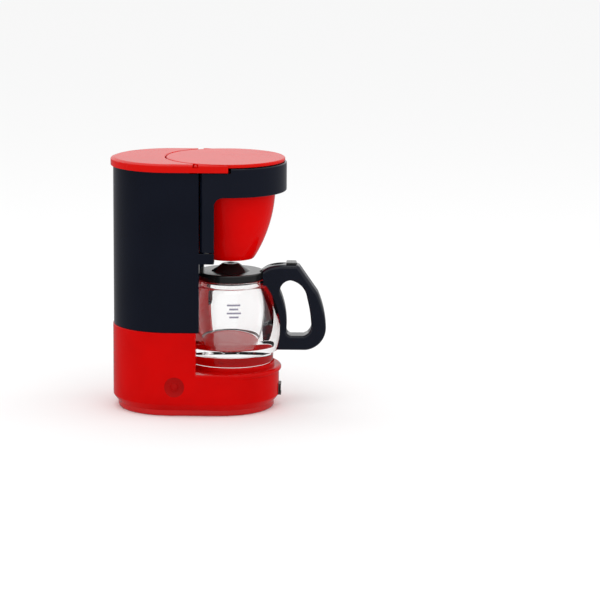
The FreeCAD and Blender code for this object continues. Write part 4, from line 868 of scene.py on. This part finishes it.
# Level marks: plain grey-violet bars of ink printed on the carafe's side, two long and two short in turn.
MARKS = [(26.3, 8.5), (25.4, 5.5), (24.5, 8.5), (23.6, 5.5)]
MARK_TALL = 0.4
MARK_ANGLE = 186.0
MARK_FOOT = 0.01
MARK_RISE = 0.03
MARK_COLUMNS = 13
MARK_INK = (0.17, 0.155, 0.22, 1)
MARK_WORN = (0.36, 0.34, 0.42, 1)
marks_made = []
for height, spread in MARKS:
    turn = np.radians(np.linspace(MARK_ANGLE - spread, MARK_ANGLE + spread, MARK_COLUMNS))
    level = height + MARK_TALL / 2 * np.array([-1, -1, 1, 1])[:, None]
    radius = side_radius(level) + np.array([MARK_FOOT, MARK_RISE, MARK_RISE, MARK_FOOT])[:, None]
    grid = np.stack([radius * np.cos(turn), BAY_Y + radius * np.sin(turn),
                     np.broadcast_to(level, (4, MARK_COLUMNS))], 2)
    place = np.arange(4 * MARK_COLUMNS).reshape(4, MARK_COLUMNS)
    on = np.roll(place, -1, 0)
    faces = np.stack([place[:, :-1], place[:, 1:], on[:, 1:], on[:, :-1]], 2).reshape(-1, 4)
    ends = np.stack([place[::-1, 0], place[:, -1]])
    marks_made.append(build("mark", (grid.reshape(-1, 3), [faces, ends])))
marks = marks_made[0]
for other in marks_made[1:]:
    combine(marks, other, "UNION")
marks.name = "level_marks"
smooth(marks)
material, nodes, links, shader = new_material("mark_ink")
shader.inputs["Roughness"].default_value = 0.45
place = nodes.new("ShaderNodeTexCoord")
worn = nodes.new("ShaderNodeTexNoise")
worn.inputs["Scale"].default_value = 3000
links.new(place.outputs["Object"], worn.inputs["Vector"])
tint = nodes.new("ShaderNodeValToRGB")
tint.color_ramp.elements[0].color = MARK_INK
tint.color_ramp.elements[1].color = MARK_WORN
links.new(worn.outputs["Fac"], tint.inputs["Fac"])
links.new(tint.outputs["Color"], shader.inputs["Base Color"])
marks.data.materials.clear()
marks.data.materials.append(material)
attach(marks, "carafe")

# Carafe lid: a black moulded disc with a low boss that the nozzle drips into, and an arm in the handle's
# fork that ends in the thumb tab. A steel pin through the fork holds it.


def facing_front(corners):
    """Corners (distance from the carafe's axis, height, radius) in the toy's middle plane, facing front."""
    return [(BAY_Y - d, z, radius) for d, z, radius in corners]


lid_node_low, lid_node_high = box_mm("carafe_lid")
BLACK = (0.0105, 0.0105, 0.0108, 1)
BLACK_DEEP = (0.0080, 0.0080, 0.0083, 1)
LID_RADIUS = 7.95
LID_TOP = 32.8
DOME_TOP = 34.6
DRIP_HOLE = 0.8
PLUG = (6.25, 7.05)
ARM_TOP = 34.5
ARM_HALF = 1.15
TAB_FAR = BAY_Y - lid_node_low[1]
TAB_NEAR = TAB_FAR - 2.4
TAB_FOOT = 34.2
TAB_HALF = 1.9
ways = [(DRIP_HOLE, NECK_TOP, 0), (PLUG[0], NECK_TOP, 0), (PLUG[0], lid_node_low[2], 0.1),
        (PLUG[1], lid_node_low[2], 0.1), (PLUG[1], NECK_TOP, 0), (LID_RADIUS, NECK_TOP, 0.15),
        (LID_RADIUS, LID_TOP, 0.35), (4.6, LID_TOP, 0.5), (1.9, DOME_TOP, 0.8), (DRIP_HOLE, DOME_TOP, 0.1)]
carafe_lid = build("black_lid", lathe(softened(ways, 9)))
arm = softened(facing_front([(6.9, 31.2, 0.2), (6.9, 32.9, 0.3), (9.2, 34.0, 1.0), (13.3, ARM_TOP, 0.5),
                             (TAB_FAR, ARM_TOP, 0.1), (TAB_FAR, 33.6, 0.2), (13.9, 32.2, 0.4),
                             (9.0, 31.2, 0.4)]))
unite(carafe_lid, "arm", shell(arm, wall(-ARM_HALF, ARM_HALF, 0.15, 0.15)), ACROSS)
tab = softened(facing_front([(TAB_NEAR, TAB_FOOT, 0.1), (TAB_NEAR, lid_node_high[2], 0.25),
                             (TAB_FAR, lid_node_high[2], 0.3), (TAB_FAR, TAB_FOOT, 0.1)]))
unite(carafe_lid, "tab", shell(tab, wall(-TAB_HALF, TAB_HALF, 0.2, 0.2)), ACROSS)
smooth(carafe_lid)
lid_black = moulded_plastic("lid_black", BLACK, BLACK_DEEP, roughness=0.16, scratches=0.12, wave=0.5)
dress(carafe_lid, lid_black, "carafe", "black_plastic", "carafe_lid")

# Handle: a blue-black moulded loop glued along the carafe's side, with rounded edges. A fork on top takes
# the lid's arm.
HANDLE_HALF = 2.6
EDGE_ROUND = 0.8
HANDLE_FOOT = box_mm("carafe_handle")[0][2]
HANDLE_TOP = 34.5
GRIP_ROUND = 0.6
GLUE_GAP = 0.05
FORK_HALF = 1.3
FORK_TOP = 36.0
FORK_FAR = TAB_FAR + 0.15


def swept_way(corners):
    """A closed way through corners (a, b, radius); an arc of that radius follows the corner, 0 is straight.

    Positive radii bow to the right of the way on, negative ones to the left.
    """
    runs = []
    for (a, b, radius), (next_a, next_b, _) in zip(corners, corners[1:] + corners[:1]):
        run = bow((a, b), (next_a, next_b), radius, 17)[:-1] if radius else np.array([[a, b]], float)
        runs.append(run)
    return np.concatenate(runs)


loop = swept_way(facing_front([
    (6.7, 32.2, 6.0), (9.6, 34.15, 12.0), (13.3, HANDLE_TOP, 0), (15.6, HANDLE_TOP, 1.2), (16.5, 34.1, 0),
    (20.6, 28.25, 3.0), (21.1, 27.3, 24.0), (22.85, 19.0, 5.4), (18.0, HANDLE_FOOT, 0),
    (10.2, HANDLE_FOOT, 0), (8.1, 28.6, 0), (7.2, 29.5, 0), (7.2, 30.9, 0)]))
half = wall(-HANDLE_HALF, HANDLE_HALF, EDGE_ROUND, EDGE_ROUND)
handle = build("dark_handle", shell(loop, half), ACROSS)
grip = swept_way(facing_front([
    (11.8, 28.2, 20.0), (13.4, 18.6, -1.3), (14.6, 17.4, 0), (17.4, 17.4, -2.6), (19.3, 20.4, -30.0),
    (18.3, 26.6, -4.8), (14.4, 30.8, -2.7)]))[::-1]
turn = np.radians(np.linspace(0, 90, ROUND_STEPS))
rim = list(zip(-GRIP_ROUND * (1 - np.cos(turn)), HANDLE_HALF - GRIP_ROUND * (1 - np.sin(turn))))
rows = [(-GRIP_ROUND - 0.3, -HANDLE_HALF - 0.3), (-GRIP_ROUND - 0.3, -HANDLE_HALF)]
rows += [(inset, -height) for inset, height in rim[::-1]] + rim
rows += [(-GRIP_ROUND - 0.3, HANDLE_HALF), (-GRIP_ROUND - 0.3, HANDLE_HALF + 0.3)]
cut(handle, "finger_hole", shell(grip, rows), ACROSS)
seat_z = np.linspace(glass_low[2], SHOULDER - 0.3, 40)
shoulder_out = float(side_radius(SHOULDER)) + GLUE_GAP
ways = [(0, glass_low[2] - 1), (foot + GLUE_GAP, glass_low[2] - 1),
        *zip(side_radius(seat_z) + GLUE_GAP, seat_z),
        (shoulder_out, SHOULDER), (shoulder_out, SHOULDER + GLUE_GAP), (NECK + GLUE_GAP, SHOULDER + 0.1),
        (NECK + GLUE_GAP, LID_TOP + 0.1), (0, LID_TOP + 0.1)]
cut(handle, "glass_seat", lathe(ways))
fork = [(BAY_Y - d, z) for d, z in ((5.7, 30.9), (5.7, FORK_TOP), (FORK_FAR, FORK_TOP), (FORK_FAR, 33.2),
                                    (14.05, 32.05), (8.95, 30.9))]
cut(handle, "fork", stretched(np.array(fork), -FORK_HALF, FORK_HALF), ACROSS)
smooth(handle)
handle_navy = moulded_plastic("handle_navy", NAVY_EDGE, NAVY,
                              roughness=0.11, scratches=0.12, wave=0.9, level=0.28)
dress(handle, handle_navy, "carafe", "navy_plastic", "carafe_handle")
